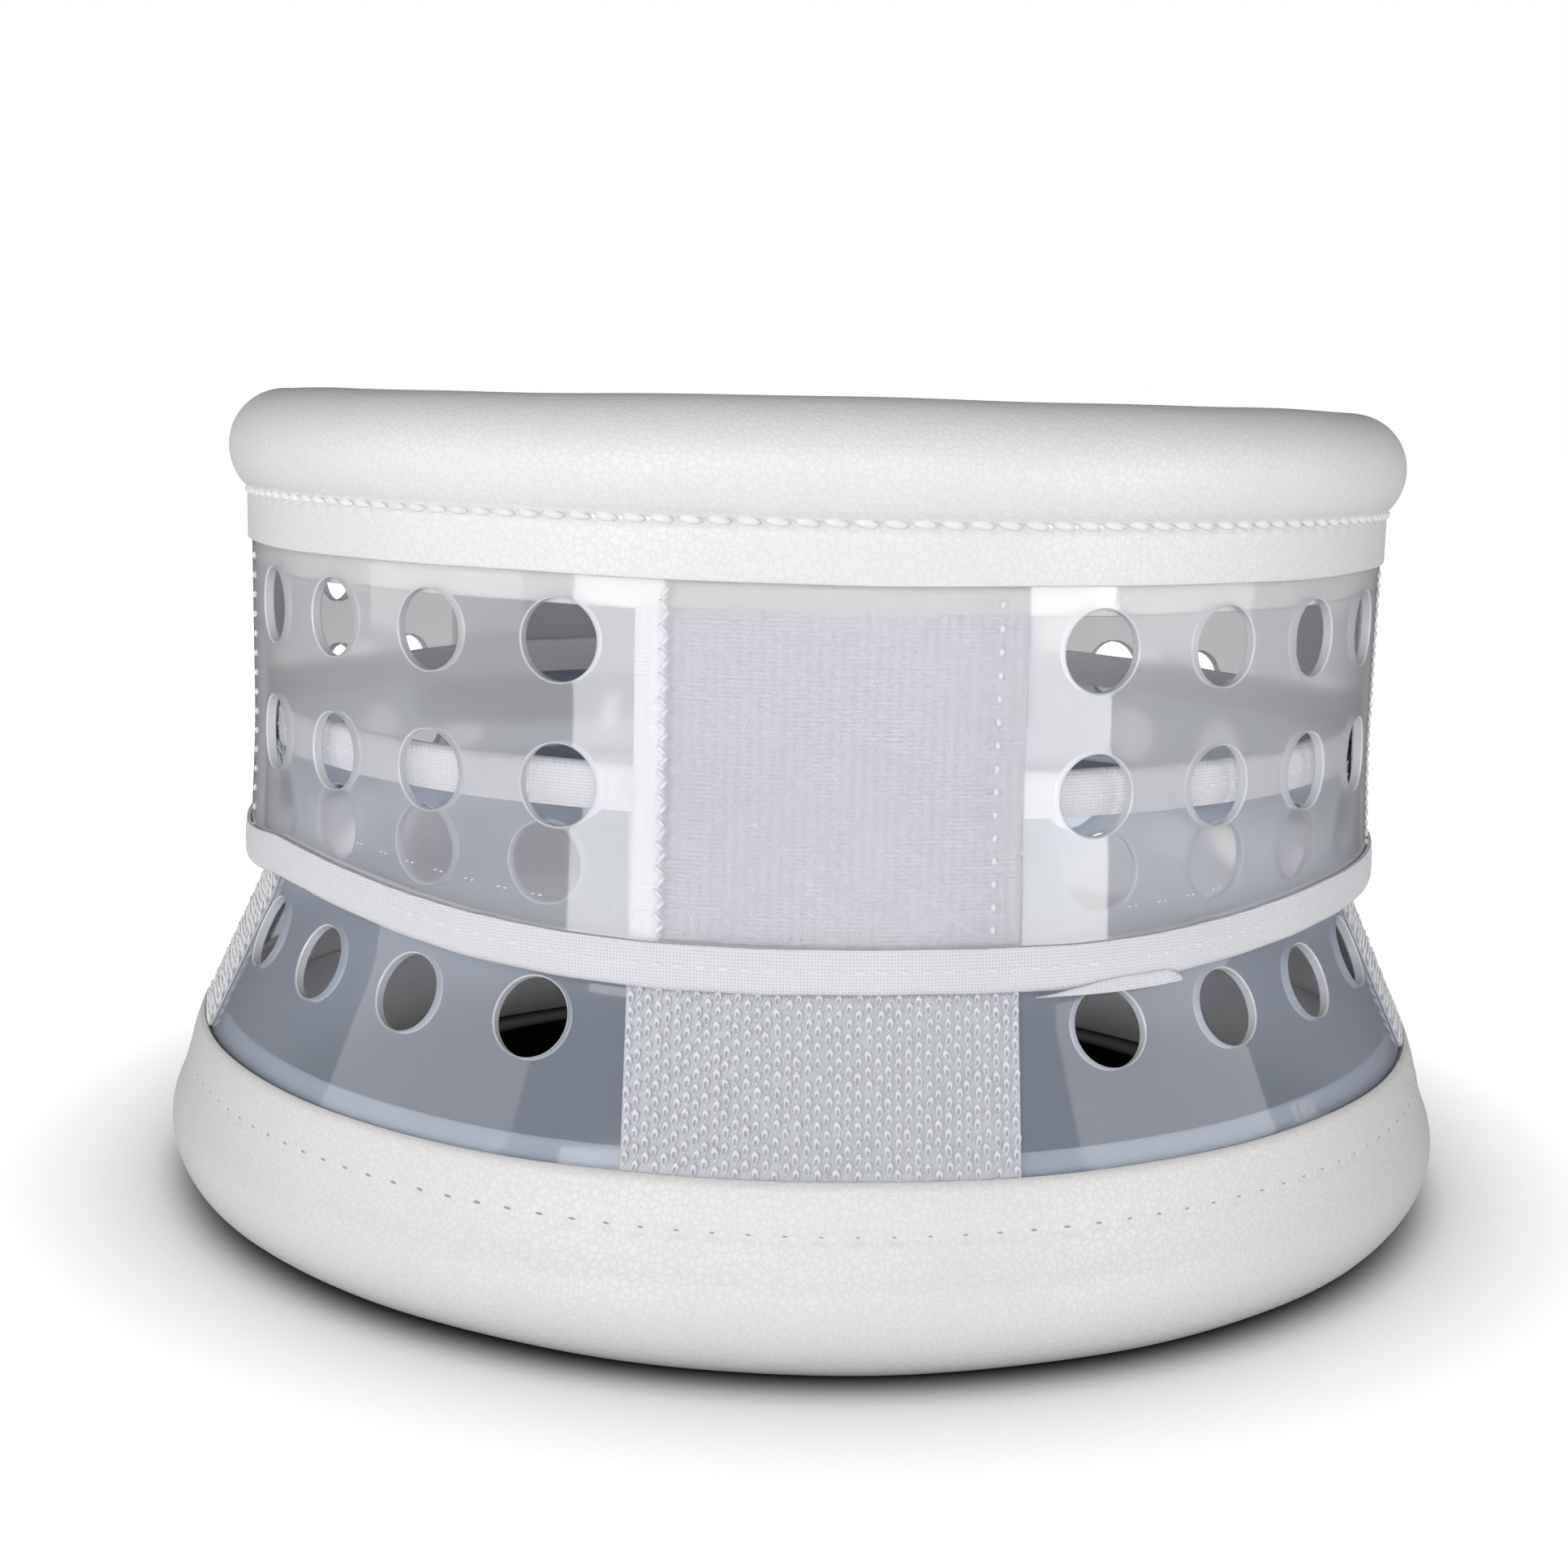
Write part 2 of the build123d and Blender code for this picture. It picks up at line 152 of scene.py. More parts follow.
@dataclass(frozen=True)
class Wall:
    """Outer face of a sheet turned about Z.

    Each bend is a height and the change of slope below it.
    """

    radius: float
    bends: tuple[tuple[float, float], ...]

    def radius_at(self, height: Array) -> Array:
        """Radius of the face at each height."""
        height = np.asarray(height, dtype=float)
        return self.radius + sum(slope * ramp(top - height, CORNER_ROUND) for top, slope in self.bends)

    def slope_at(self, height: Array) -> Array:
        """How much the face opens for each metre down."""
        step = 0.05 * MM
        height = np.asarray(height, dtype=float)
        return (self.radius_at(height - step) - self.radius_at(height + step)) / (2 * step)

    def lifted(self, height: Array, depth: Array) -> tuple[Array, Array]:
        """Radius and height of points that lie at a depth, square to the face."""
        slope = self.slope_at(height)
        length = np.sqrt(1 + slope**2)
        return self.radius_at(height) + depth / length, height + depth * slope / length

    def place(self, angle: Array, height: Array, depth: Array) -> Array:
        """Points in space for angles, heights and depths."""
        radius, height = self.lifted(height, depth)
        return np.stack([radius * np.sin(angle), -radius * np.cos(angle), height], axis=-1)

    def axes(self, angle: float, height: float, depth: float) -> Matrix:
        """Local frame on the face: X runs round it, Y up it and Z out of it.

        Args:
            angle: Angle from the front.
            height: Height on the outer face.
            depth: Distance out from the face.

        Returns:
            A matrix whose translation is the point itself.
        """
        slope = float(self.slope_at(height))
        out = Vector((math.sin(angle), -math.cos(angle), slope)).normalized()
        along = Vector((math.cos(angle), math.sin(angle), 0.0))
        up = out.cross(along)
        matrix = Matrix((along, up, out)).transposed().to_4x4()
        matrix.translation = Vector(self.place(angle, height, depth))
        return matrix


UPPER_WALL = Wall(UPPER_RADIUS, ((UPPER_FLARE_TOP, UPPER_FLARE_SLOPE),))
LOWER_WALL = Wall(LOWER_RADIUS, ((WAIST_HEIGHT, FLARE_SLOPE), (FOOT_HEIGHT, -FLARE_SLOPE)))


def ease(share: Array) -> Array:
    """Zero to one with a soft start and stop."""
    share = np.clip(share, 0.0, 1.0)
    return share * share * (3 - 2 * share)


def front_lift(angle: Array) -> Array:
    """How much the upper band's lower edge rises from the front to the sides, where it was cut higher."""
    left = 3.4 * MM * ease((-angle - 0.24) / 0.86) - 1.6 * MM * ease((-angle - 1.0) / 0.32)
    right = 2.1 * MM * ease((angle - 0.36) / 0.62)
    return (left + right) * (1 - ease((np.abs(angle) - 1.5) / 1.1))


def edge_share(height: Array) -> Array:
    """Share of the front lift that reaches a height on the upper band."""
    return np.clip((0.0505 - height) / 0.012, 0.0, 1.0)


# === modelling bench ========================================================================
def deselect() -> None:
    """Leaves nothing selected, in object mode."""
    if bpy.context.object is not None and bpy.context.object.mode != "OBJECT":
        bpy.ops.object.mode_set(mode="OBJECT")
    bpy.ops.object.select_all(action="DESELECT")


def take(piece: bpy.types.Object) -> None:
    """Makes a piece the only one selected, and the active one."""
    deselect()
    piece.select_set(True)
    bpy.context.view_layer.objects.active = piece


def adopt(name: str) -> bpy.types.Object:
    """Names the primitive that was just added.

    Args:
        name: The piece's name.

    Returns:
        The piece.
    """
    piece = bpy.context.object
    piece.name = name
    piece.data.name = name
    return piece


def apply_modifier(piece: bpy.types.Object, kind: str, **settings: object) -> None:
    """Adds a modifier to a piece and applies it.

    Args:
        piece: The piece to change.
        kind: The modifier's type.
        **settings: Its settings.
    """
    take(piece)
    modifier = piece.modifiers.new(kind, kind)
    for key, value in settings.items():
        setattr(modifier, key, value)
    bpy.ops.object.modifier_apply(modifier=modifier.name)


def read_points(piece: bpy.types.Object) -> Array:
    """The piece's points as rows of x, y and z."""
    points = np.empty(len(piece.data.vertices) * 3)
    piece.data.vertices.foreach_get("co", points)
    return points.reshape(-1, 3)


def write_points(piece: bpy.types.Object, points: Array) -> None:
    """Puts the piece's points at new places."""
    piece.data.vertices.foreach_set("co", np.ascontiguousarray(points, dtype=float).ravel())
    piece.data.update()


def lay_uv(piece: bpy.types.Object, across: Array, up: Array) -> None:
    """Gives a piece a UV map in metres of cloth.

    Args:
        piece: The piece to map.
        across: Each point's distance along the cloth.
        up: Each point's distance across it.
    """
    layer = piece.data.uv_layers.get("UVMap") or piece.data.uv_layers.new(name="UVMap")
    corners = np.empty(len(piece.data.loops), dtype=np.int32)
    piece.data.loops.foreach_get("vertex_index", corners)
    layer.data.foreach_set("uv", np.stack([across[corners], up[corners]], axis=-1).ravel())


def smooth(piece: bpy.types.Object, angle: float = 35.0) -> None:
    """Shades a piece smooth, except over edges sharper than the angle in degrees."""
    take(piece)
    bpy.ops.object.shade_smooth_by_angle(angle=math.radians(angle))


def outward(piece: bpy.types.Object) -> None:
    """Merges doubles and turns the faces of a closed piece outwards."""
    take(piece)
    bpy.ops.object.mode_set(mode="EDIT")
    bpy.ops.mesh.select_all(action="SELECT")
    bpy.ops.mesh.remove_doubles(threshold=1e-6)
    bpy.ops.mesh.normals_make_consistent(inside=False)
    bpy.ops.object.mode_set(mode="OBJECT")


def join(pieces: Sequence[bpy.types.Object], name: str) -> bpy.types.Object:
    """Joins meshes into one piece.

    Args:
        pieces: The meshes, the first of which stays.
        name: The joined piece's name.

    Returns:
        The joined piece.
    """
    take(pieces[0])
    for piece in pieces:
        piece.select_set(True)
    bpy.ops.object.join()
    return adopt(name)


def panel(
    name: str, span: Span, heights: Span, depths: Span, cell: float, edge: float = 0.0
) -> bpy.types.Object:
    """A flat panel, before it is bent: X along the band, Y up it and Z out of it.

    Args:
        name: The piece's name.
        span: Distances along the band of its two ends.
        heights: Heights of its lower and upper edges.
        depths: Depths of its inner and outer faces.
        cell: Size of its grid.
        edge: Radius of its rounded edges, or zero.

    Returns:
        The panel, closed all round.
    """
    width, height = span[1] - span[0], heights[1] - heights[0]
    deselect()
    bpy.ops.mesh.primitive_grid_add(
        x_subdivisions=max(2, round(width / cell)), y_subdivisions=max(2, round(height / cell)), size=1.0
    )
    piece = adopt(name)
    bpy.ops.object.mode_set(mode="EDIT")
    bpy.ops.mesh.select_all(action="SELECT")
    bpy.ops.transform.resize(value=(width, height, 1.0))
    bpy.ops.transform.translate(value=(sum(span) / 2, sum(heights) / 2, depths[0]))
    bpy.ops.object.mode_set(mode="OBJECT")
    apply_modifier(piece, "SOLIDIFY", thickness=depths[1] - depths[0], offset=1.0)
    if edge:
        sharp = math.radians(50)
        apply_modifier(piece, "BEVEL", width=edge, segments=2, limit_method="ANGLE", angle_limit=sharp)
    return piece


def bend_on(piece: bpy.types.Object, wall: Wall, rule: Callable[[Array], Array] | None = None) -> None:
    """Bends a flat piece round a wall, and maps its cloth before the bend.

    Args:
        piece: A piece laid out flat: X along, Y up and Z out.
        wall: The wall it lies on.
        rule: A change to the flat points before the bend, if any.
    """
    flat = read_points(piece)
    lay_uv(piece, flat[:, 0], flat[:, 1])
    if rule is not None:
        flat = rule(flat)
    write_points(piece, wall.place(flat[:, 0] / UPPER_RADIUS, flat[:, 1], flat[:, 2]))


def spun(name: str, section: Section, start: float, end: float, steps: int) -> bpy.types.Object:
    """Turns a closed section about Z into a solid with closed ends.

    Args:
        name: The piece's name.
        section: Points of radius and height, in order.
        start: Angle of the first end.
        end: Angle of the last end.
        steps: How many steps the turn takes.

    Returns:
        The piece, with its faces outwards.
    """
    deselect()
    bpy.ops.mesh.primitive_circle_add(vertices=len(section), radius=1.0, fill_type="NOTHING")
    piece = adopt(name)
    rim = np.array(section)
    write_points(
        piece, np.stack([rim[:, 0] * math.sin(start), -rim[:, 0] * math.cos(start), rim[:, 1]], axis=-1)
    )
    apply_modifier(piece, "SCREW", angle=end - start, steps=steps, render_steps=steps, use_smooth_shade=False)
    bpy.ops.object.mode_set(mode="EDIT")
    bpy.ops.mesh.select_all(action="DESELECT")
    bpy.ops.mesh.select_non_manifold(extend=False, use_wire=False, use_multi_face=False, use_verts=False)
    bpy.ops.mesh.fill_holes(sides=0)
    bpy.ops.object.mode_set(mode="OBJECT")
    outward(piece)
    return piece


def reshape(piece: bpy.types.Object, rule: Callable[[Array, Array, Array], tuple[Array, Array]]) -> None:
    """Moves a turned piece's points by a rule on angle, radius and height.

    Args:
        piece: The piece to change.
        rule: Takes angles, radii and heights, and gives new radii and heights.
    """
    points = read_points(piece)
    angle = np.arctan2(points[:, 0], -points[:, 1])
    radius, height = rule(angle, np.hypot(points[:, 0], points[:, 1]), points[:, 2])
    write_points(piece, np.stack([radius * np.sin(angle), -radius * np.cos(angle), height], axis=-1))


def copies(name: str, template: bpy.types.Object, places: Sequence[Matrix]) -> bpy.types.Object:
    """Repeats a small template at many places, as one mesh.

    Args:
        name: The new piece's name.
        template: The shape to repeat, which is removed.
        places: A matrix for each copy.

    Returns:
        The piece that holds all the copies.
    """
    shape = read_points(template)
    faces = [tuple(face.vertices) for face in template.data.polygons]
    stack = np.array([np.array(place) for place in places])
    points = np.einsum("nij,vj->nvi", stack[:, :3, :3], shape) + stack[:, None, :3, 3]
    count = len(shape)
    mesh = bpy.data.meshes.new(name)
    mesh.from_pydata(
        points.reshape(-1, 3),
        [],
        [tuple(v + copy * count for v in face) for copy in range(len(places)) for face in faces],
    )
    mesh.update()
    piece = bpy.data.objects.new(name, mesh)
    bpy.context.scene.collection.objects.link(piece)
    bpy.data.objects.remove(template, do_unlink=True)
    return piece


def arc(centre: Span, radius: float, start: float, end: float, count: int) -> Section:
    """Points on an arc, with angles in degrees from straight out, positive upwards."""
    turns = np.radians(np.linspace(start, end, count))
    return [(centre[0] + radius * math.cos(t), centre[1] + radius * math.sin(t)) for t in turns]


def line(start: Span, end: Span, count: int) -> Section:
    """Points on a straight line, without its last one."""
    steps = np.linspace(0.0, 1.0, count, endpoint=False)
    return [(start[0] + (end[0] - start[0]) * t, start[1] + (end[1] - start[1]) * t) for t in steps]


def curve(start: Span, lead: Span, end: Span, trail: Span, count: int) -> Section:
    """Points on a cubic with a given direction at each end, without its first and last one."""
    points = []
    for t in np.linspace(0.0, 1.0, count)[1:-1]:
        a, b, c, d = (1 + 2 * t) * (1 - t) ** 2, t * (1 - t) ** 2, t * t * (3 - 2 * t), t * t * (t - 1)
        points.append(tuple(a * start[i] + b * lead[i] + c * end[i] + d * trail[i] for i in range(2)))
    return points


# === materials ==============================================================================
class Tree:
    """A node tree in the making, with short calls to add and wire nodes."""

    def __init__(self, tree: bpy.types.NodeTree) -> None:
        """Holds the tree to build in."""
        self.tree = tree

    def add(self, kind: str, inputs: dict | None = None, **settings: object) -> bpy.types.Node:
        """Adds a node.

        Args:
            kind: The node's type, without its ShaderNode prefix.
            inputs: Values or sockets for its inputs, by name or number.
            **settings: The node's own settings.

        Returns:
            The node.
        """
        node = self.tree.nodes.new("ShaderNode" + kind)
        for key, value in settings.items():
            setattr(node, key, value)
        for key, value in (inputs or {}).items():
            self.feed(node, key, value)
        return node

    def feed(self, node: bpy.types.Node, key: str | int, value: object) -> None:
        """Wires a socket into an input, or sets its value."""
        if isinstance(value, bpy.types.NodeSocket):
            self.tree.links.new(value, node.inputs[key])
        else:
            node.inputs[key].default_value = value

    def maths(
        self, operation: str, first: object, second: object = 0.0, clamp: bool = False
    ) -> bpy.types.NodeSocket:
        """Output of a Math node."""
        return self.add("Math", {0: first, 1: second}, operation=operation, use_clamp=clamp).outputs[0]

    def blend(self, factor: object, first: object, second: object) -> bpy.types.NodeSocket:
        """Output of a colour mix."""
        node = self.add("Mix", data_type="RGBA")
        for index, value in ((0, factor), (6, first), (7, second)):
            self.feed(node, index, value)
        return node.outputs[2]


def new_group(
    name: str, inputs: dict[str, float | None], outputs: Sequence[str]
) -> tuple[Tree, bpy.types.Node, bpy.types.Node]:
    """Starts a shader node group.

    Args:
        name: The group's name.
        inputs: Names of its inputs with their values, or None for a vector.
        outputs: Names of its outputs, which are all values.

    Returns:
        The tree to build in, the group's input node and its output node.
    """
    group = bpy.data.node_groups.new(name, "ShaderNodeTree")
    for key, value in inputs.items():
        kind = "NodeSocketVector" if value is None else "NodeSocketFloat"
        socket = group.interface.new_socket(key, in_out="INPUT", socket_type=kind)
        if value is not None:
            socket.default_value = value
    for key in outputs:
        group.interface.new_socket(key, in_out="OUTPUT", socket_type="NodeSocketFloat")
    return Tree(group), group.nodes.new("NodeGroupInput"), group.nodes.new("NodeGroupOutput")


def grain_group() -> bpy.types.NodeTree:
    """Pressed leather grain: rounded cells with fine creases between them."""
    tree, given, result = new_group("leather_grain", {"Vector": None, "Cell": 0.0007}, ["Height", "Crease"])
    scale = tree.maths("DIVIDE", 1.0, given.outputs["Cell"])
    sway = tree.add("TexNoise", {"Vector": given.outputs["Vector"], "Scale": 900.0, "Detail": 2.0})
    offset = tree.add("VectorMath", {0: sway.outputs["Color"], 1: (0.0004,) * 3}, operation="MULTIPLY")
    place = tree.add("VectorMath", {0: given.outputs["Vector"], 1: offset.outputs[0]}, operation="ADD")
    cells = tree.add("TexVoronoi", {"Vector": place.outputs[0], "Scale": scale}, feature="DISTANCE_TO_EDGE")
    crease = tree.add("MapRange", {0: cells.outputs["Distance"], 1: 0.0, 2: 0.16, 3: 1.0, 4: 0.0})
    fine = tree.add("TexNoise", {"Vector": given.outputs["Vector"], "Scale": 2600.0, "Detail": 3.0})
    sunk = tree.maths("MULTIPLY", crease.outputs[0], -0.7)
    raised = tree.maths("MULTIPLY", fine.outputs[0], 0.5)
    tree.feed(result, "Height", tree.maths("ADD", sunk, raised))
    tree.feed(result, "Crease", crease.outputs[0])
    return tree.tree


def weave_group() -> bpy.types.NodeTree:
    """Plain weave on a UV map in metres: ribs both ways that pass over and under each other."""
    inputs = {"Vector": None, "Across": 0.0004, "Up": 0.0004, "Slub": 0.3}
    tree, given, result = new_group("weave", inputs, ["Height", "Gap"])
    split = tree.add("SeparateXYZ", {0: given.outputs["Vector"]})
    waver = tree.add("TexNoise", {"Vector": given.outputs["Vector"], "Scale": 700.0, "Detail": 2.0})
    drift = tree.maths("MULTIPLY", tree.maths("SUBTRACT", waver.outputs[0], 0.5), given.outputs["Slub"])
    waves = []
    for axis, pitch in (("X", "Across"), ("Y", "Up")):
        count = tree.maths("DIVIDE", split.outputs[axis], given.outputs[pitch])
        turn = tree.maths("ADD", count, drift)
        waves.append(tree.maths("SINE", tree.maths("MULTIPLY", turn, math.pi)))
    ribs = [tree.maths("ABSOLUTE", wave) for wave in waves]
    over = tree.maths("GREATER_THAN", tree.maths("MULTIPLY", *waves), 0.0)
    height = tree.add("Mix", {0: over, 2: ribs[0], 3: ribs[1]}, data_type="FLOAT").outputs[0]
    gap = tree.maths("SUBTRACT", 1.0, tree.maths("MAXIMUM", ribs[0], ribs[1]), clamp=True)
    tree.feed(result, "Height", height)
    tree.feed(result, "Gap", gap)
    return tree.tree


def mottle_group() -> bpy.types.NodeTree:
    """Slow variation of tone over a surface, around zero."""
    tree, given, result = new_group("mottle", {"Vector": None, "Size": 0.02, "Amount": 0.05}, ["Shift"])
    scale = tree.maths("DIVIDE", 1.0, given.outputs["Size"])
    inputs = {"Vector": given.outputs["Vector"], "Scale": scale, "Detail": 4.0, "Roughness": 0.6}
    cloud = tree.add("TexNoise", inputs)
    shift = tree.maths("MULTIPLY", tree.maths("SUBTRACT", cloud.outputs[0], 0.5), given.outputs["Amount"])
    tree.feed(result, "Shift", shift)
    return tree.tree


class Effects:
    """The shared node groups, each built once."""

    def __init__(self) -> None:
        """Builds the groups."""
        self.grain = grain_group()
        self.weave = weave_group()
        self.mottle = mottle_group()


@dataclass(frozen=True)
class Finish:
    """What every finish has: a name and its colour."""

    name: str
    colour: Colour

    def begin(self) -> tuple[bpy.types.Material, Tree, bpy.types.Node]:
        """Starts the material.

        Returns:
            The material, its tree and its Principled shader.
        """
        material = bpy.data.materials.new(self.name)
        material.use_nodes = True
        shader = next(n for n in material.node_tree.nodes if n.type == "BSDF_PRINCIPLED")
        shader.inputs["Base Color"].default_value = srgb(*self.colour)
        material.diffuse_color = srgb(*self.colour)
        return material, Tree(material.node_tree), shader

    def tone(
        self, tree: Tree, effects: Effects, vector: bpy.types.NodeSocket, size: float, amount: float
    ) -> bpy.types.NodeSocket:
        """The colour with a slow variation in brightness.

        Args:
            tree: The material's tree.
            effects: The shared groups.
            vector: The place to read.
            size: Size of the variation.
            amount: How strong it is.

        Returns:
            A colour socket.
        """
        mottle = tree.add("Group", node_tree=effects.mottle)
        for key, value in (("Vector", vector), ("Size", size), ("Amount", amount)):
            tree.feed(mottle, key, value)
        factor = tree.maths("ADD", mottle.outputs["Shift"], 0.5, clamp=True)
        dark = tuple(0.8 * c for c in self.colour)
        bright = tuple(min(1.0, 1.12 * c) for c in self.colour)
        return tree.blend(factor, srgb(*dark), srgb(*bright))


@dataclass(frozen=True)
class Leatherette(Finish):
    """Coated fabric with a fine pressed grain."""

    cell: float = 0.75 * MM
    relief: float = 0.00005

    def build(self, effects: Effects) -> bpy.types.Material:
        """Makes the material."""
        material, tree, shader = self.begin()
        place = tree.add("TexCoord").outputs["Object"]
        grain = tree.add("Group", {}, node_tree=effects.grain)
        tree.feed(grain, "Vector", place)
        tree.feed(grain, "Cell", self.cell)
        base = self.tone(tree, effects, place, 30 * MM, 0.18)
        # Painted shade: the grain's creases are blended towards a darker colour.
        depth = tree.maths("MULTIPLY", grain.outputs["Crease"], 0.22)
        crease_shaded = tree.blend(depth, base, srgb(0.80, 0.78, 0.75))
        tree.feed(shader, "Base Color", crease_shaded)
        rough = tree.maths("ADD", tree.maths("MULTIPLY", grain.outputs["Crease"], 0.15), 0.44)
        tree.feed(shader, "Roughness", rough)
        bump = tree.add("Bump", {"Strength": 0.5, "Distance": self.relief, "Height": grain.outputs["Height"]})
        tree.feed(shader, "Normal", bump.outputs[0])
        shader.inputs["Coat Weight"].default_value = 0.12
        shader.inputs["Coat Roughness"].default_value = 0.35
        shader.inputs["Subsurface Weight"].default_value = 0.0
        return material


@dataclass(frozen=True)
class MilkySheet(Finish):
    """Glossy milky polyethylene: clear to what lies on it, hazy to what is far behind it."""

    passing: float = 0.62
    haze: float = 0.2

    def build(self, effects: Effects) -> bpy.types.Material:
        """Makes the material. Its back faces are clear, so that the sheet's two faces count once."""
        material, tree, shader = self.begin()
        place = tree.add("TexCoord").outputs["Object"]
        tree.feed(shader, "Base Color", self.tone(tree, effects, place, 25 * MM, 0.2))
        back = tree.add("NewGeometry").outputs["Backfacing"]
        tree.feed(shader, "Alpha", tree.maths("SUBTRACT", 1.0, back))
        shader.inputs["Transmission Weight"].default_value = self.passing
        shader.inputs["Roughness"].default_value = self.haze
        shader.inputs["IOR"].default_value = 1.06
        shader.inputs["Coat Weight"].default_value = 1.0
        shader.inputs["Coat Roughness"].default_value = 0.05
        shader.inputs["Coat IOR"].default_value = 1.5
        return material


@dataclass(frozen=True)
class CutEdge(Finish):
    """The whiter cut face round a hole in the sheet."""

    def build(self, effects: Effects) -> bpy.types.Material:
        """Makes the material."""
        material, tree, shader = self.begin()
        place = tree.add("TexCoord").outputs["Object"]
        tree.feed(shader, "Base Color", self.tone(tree, effects, place, 3 * MM, 0.3))
        shader.inputs["Roughness"].default_value = 0.35
        return material


@dataclass(frozen=True)
class Woven(Finish):
    """Woven tape or webbing on the piece's own UV map."""

    across: float = 0.4 * MM
    up: float = 0.4 * MM
    relief: float = 0.00008
    sheen: float = 0.2

    def build(self, effects: Effects) -> bpy.types.Material:
        """Makes the material."""
        material, tree, shader = self.begin()
        place = tree.add("UVMap", uv_map="UVMap").outputs[0]
        weave = tree.add("Group", node_tree=effects.weave)
        for key, value in (("Vector", place), ("Across", self.across), ("Up", self.up)):
            tree.feed(weave, key, value)
        base = self.tone(tree, effects, tree.add("TexCoord").outputs["Object"], 12 * MM, 0.15)
        # Painted shade: the gaps between the ribs are blended towards a darker colour.
        gap = tree.maths("MULTIPLY", weave.outputs["Gap"], 0.6)
        tree.feed(shader, "Base Color", tree.blend(gap, base, srgb(*(0.72 * c for c in self.colour))))
        bump = tree.add("Bump", {"Strength": 0.6, "Distance": self.relief, "Height": weave.outputs["Height"]})
        tree.feed(shader, "Normal", bump.outputs[0])
        shader.inputs["Roughness"].default_value = 0.8
        shader.inputs["Sheen Weight"].default_value = self.sheen
        shader.inputs["Sheen Roughness"].default_value = 0.5
        return material


@dataclass(frozen=True)
class Yarn(Finish):
    """Fine thread or knitted yarn with a short nap."""

    roughness: float = 0.6

    def build(self, effects: Effects) -> bpy.types.Material:
        """Makes the material."""
        material, tree, shader = self.begin()
        place = tree.add("TexCoord").outputs["Object"]
        tree.feed(shader, "Base Color", self.tone(tree, effects, place, 1.2 * MM, 0.35))
        nap = tree.add("TexNoise", {"Vector": place, "Scale": 5200.0, "Detail": 2.0})
        bump = tree.add("Bump", {"Strength": 0.5, "Distance": 0.00006, "Height": nap.outputs[0]})
        tree.feed(shader, "Normal", bump.outputs[0])
        shader.inputs["Roughness"].default_value = self.roughness
        shader.inputs["Sheen Weight"].default_value = 0.25
        return material


@dataclass(frozen=True)
class Foam(Finish):
    """Open-cell foam, seen only where a cover is open."""

    def build(self, effects: Effects) -> bpy.types.Material:
        """Makes the material."""
        material, tree, shader = self.begin()
        place = tree.add("TexCoord").outputs["Object"]
        cells = tree.add("TexVoronoi", {"Vector": place, "Scale": 1600.0})
        # Painted shade: the pores are blended towards a darker colour.
        pore_shade = tree.add("MapRange", {0: cells.outputs["Distance"], 1: 0.0, 2: 0.6})
        tone = tree.blend(pore_shade.outputs[0], srgb(0.62, 0.60, 0.50), srgb(*self.colour))
        tree.feed(shader, "Base Color", tone)
        bump = tree.add("Bump", {"Strength": 0.8, "Distance": 0.0003, "Height": cells.outputs["Distance"]})
        tree.feed(shader, "Normal", bump.outputs[0])
        shader.inputs["Roughness"].default_value = 0.95
        return material


class Slot(Enum):
    """The record's material slots."""

    SHEET = "polyethylene"
    LEATHER = "leatherette"
    FOAM = "foam"
    BINDING = "binding_tape"
    LOOP = "loop_tape"
    HOOK = "hook_tape"
    WEBBING = "strap_webbing"
    TAB = "pull_tab"
    THREAD = "thread"


class Wardrobe:
    """Every material of the collar, and the act of dressing a piece."""

    def __init__(self) -> None:
        """Builds each material once."""
        effects = Effects()
        self.cut = CutEdge("cut_edge", (0.84, 0.85, 0.87)).build(effects)
        # Painted shade: a darker, bluer copy of the milky polyethylene for the lower band, standing for the
        # dark inside of the collar seen through it.
        self.lower_sheet = MilkySheet("slate_polyethylene", (0.76, 0.80, 0.87), 0.62, 0.4).build(effects)
        # Painted shade: a grey copy of the white thread, for stitches that lie in the shade of their dents.
        self.sunk = Yarn("sunk_thread", (0.66, 0.65, 0.64)).build(effects)
        # Painted shade: a darker copy of the loop yarn for the tape's ground, which lies in shade under the
        # loops.
        self.ground = Yarn("loop_ground", (0.80, 0.81, 0.84)).build(effects)
        finishes = {
            Slot.SHEET: MilkySheet("milky_polyethylene", (0.91, 0.92, 0.965), 0.68, 0.32),
            Slot.LEATHER: Leatherette("ivory_leatherette", (0.955, 0.94, 0.932)),
            Slot.FOAM: Foam("cream_foam", (0.93, 0.91, 0.82)),
            Slot.BINDING: Woven("binding_weave", (0.91, 0.91, 0.98), 0.32 * MM, 0.32 * MM),
            Slot.LOOP: Yarn("loop_yarn", (0.93, 0.94, 0.95)),
            Slot.HOOK: Woven("hook_backing_weave", (0.91, 0.91, 0.985), 1.1 * MM, 0.42 * MM, 0.14 * MM),
            Slot.WEBBING: Woven("webbing_weave", (0.90, 0.90, 0.93), 1.1 * MM, 0.55 * MM, 0.16 * MM),
            Slot.TAB: Leatherette("tab_leatherette", (0.92, 0.91, 0.89), 0.6 * MM),
            Slot.THREAD: Yarn("white_thread", (0.95, 0.945, 0.93), 0.5),
        }
        self.materials = {slot: finish.build(effects) for slot, finish in finishes.items()}

    def dress(self, piece: bpy.types.Object, slot: Slot, body: str | None, *nodes: str) -> bpy.types.Object:
        """Gives a piece its material, its slot, its body and the nodes that it stands for.

        Args:
            piece: The finished piece.
            slot: Its material slot.
            body: The body that it rides on, or None to leave it unattached.
            *nodes: CAD nodes that it replaces.

        Returns:
            The piece.
        """
        piece.data.materials.clear()
        piece.data.materials.append(self.materials[slot])
        if body is not None:
            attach(piece, body)
        if nodes:
            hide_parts(*nodes)
        log.info("%s: %d faces, %s", piece.name, len(piece.data.polygons), slot.value)
        return piece


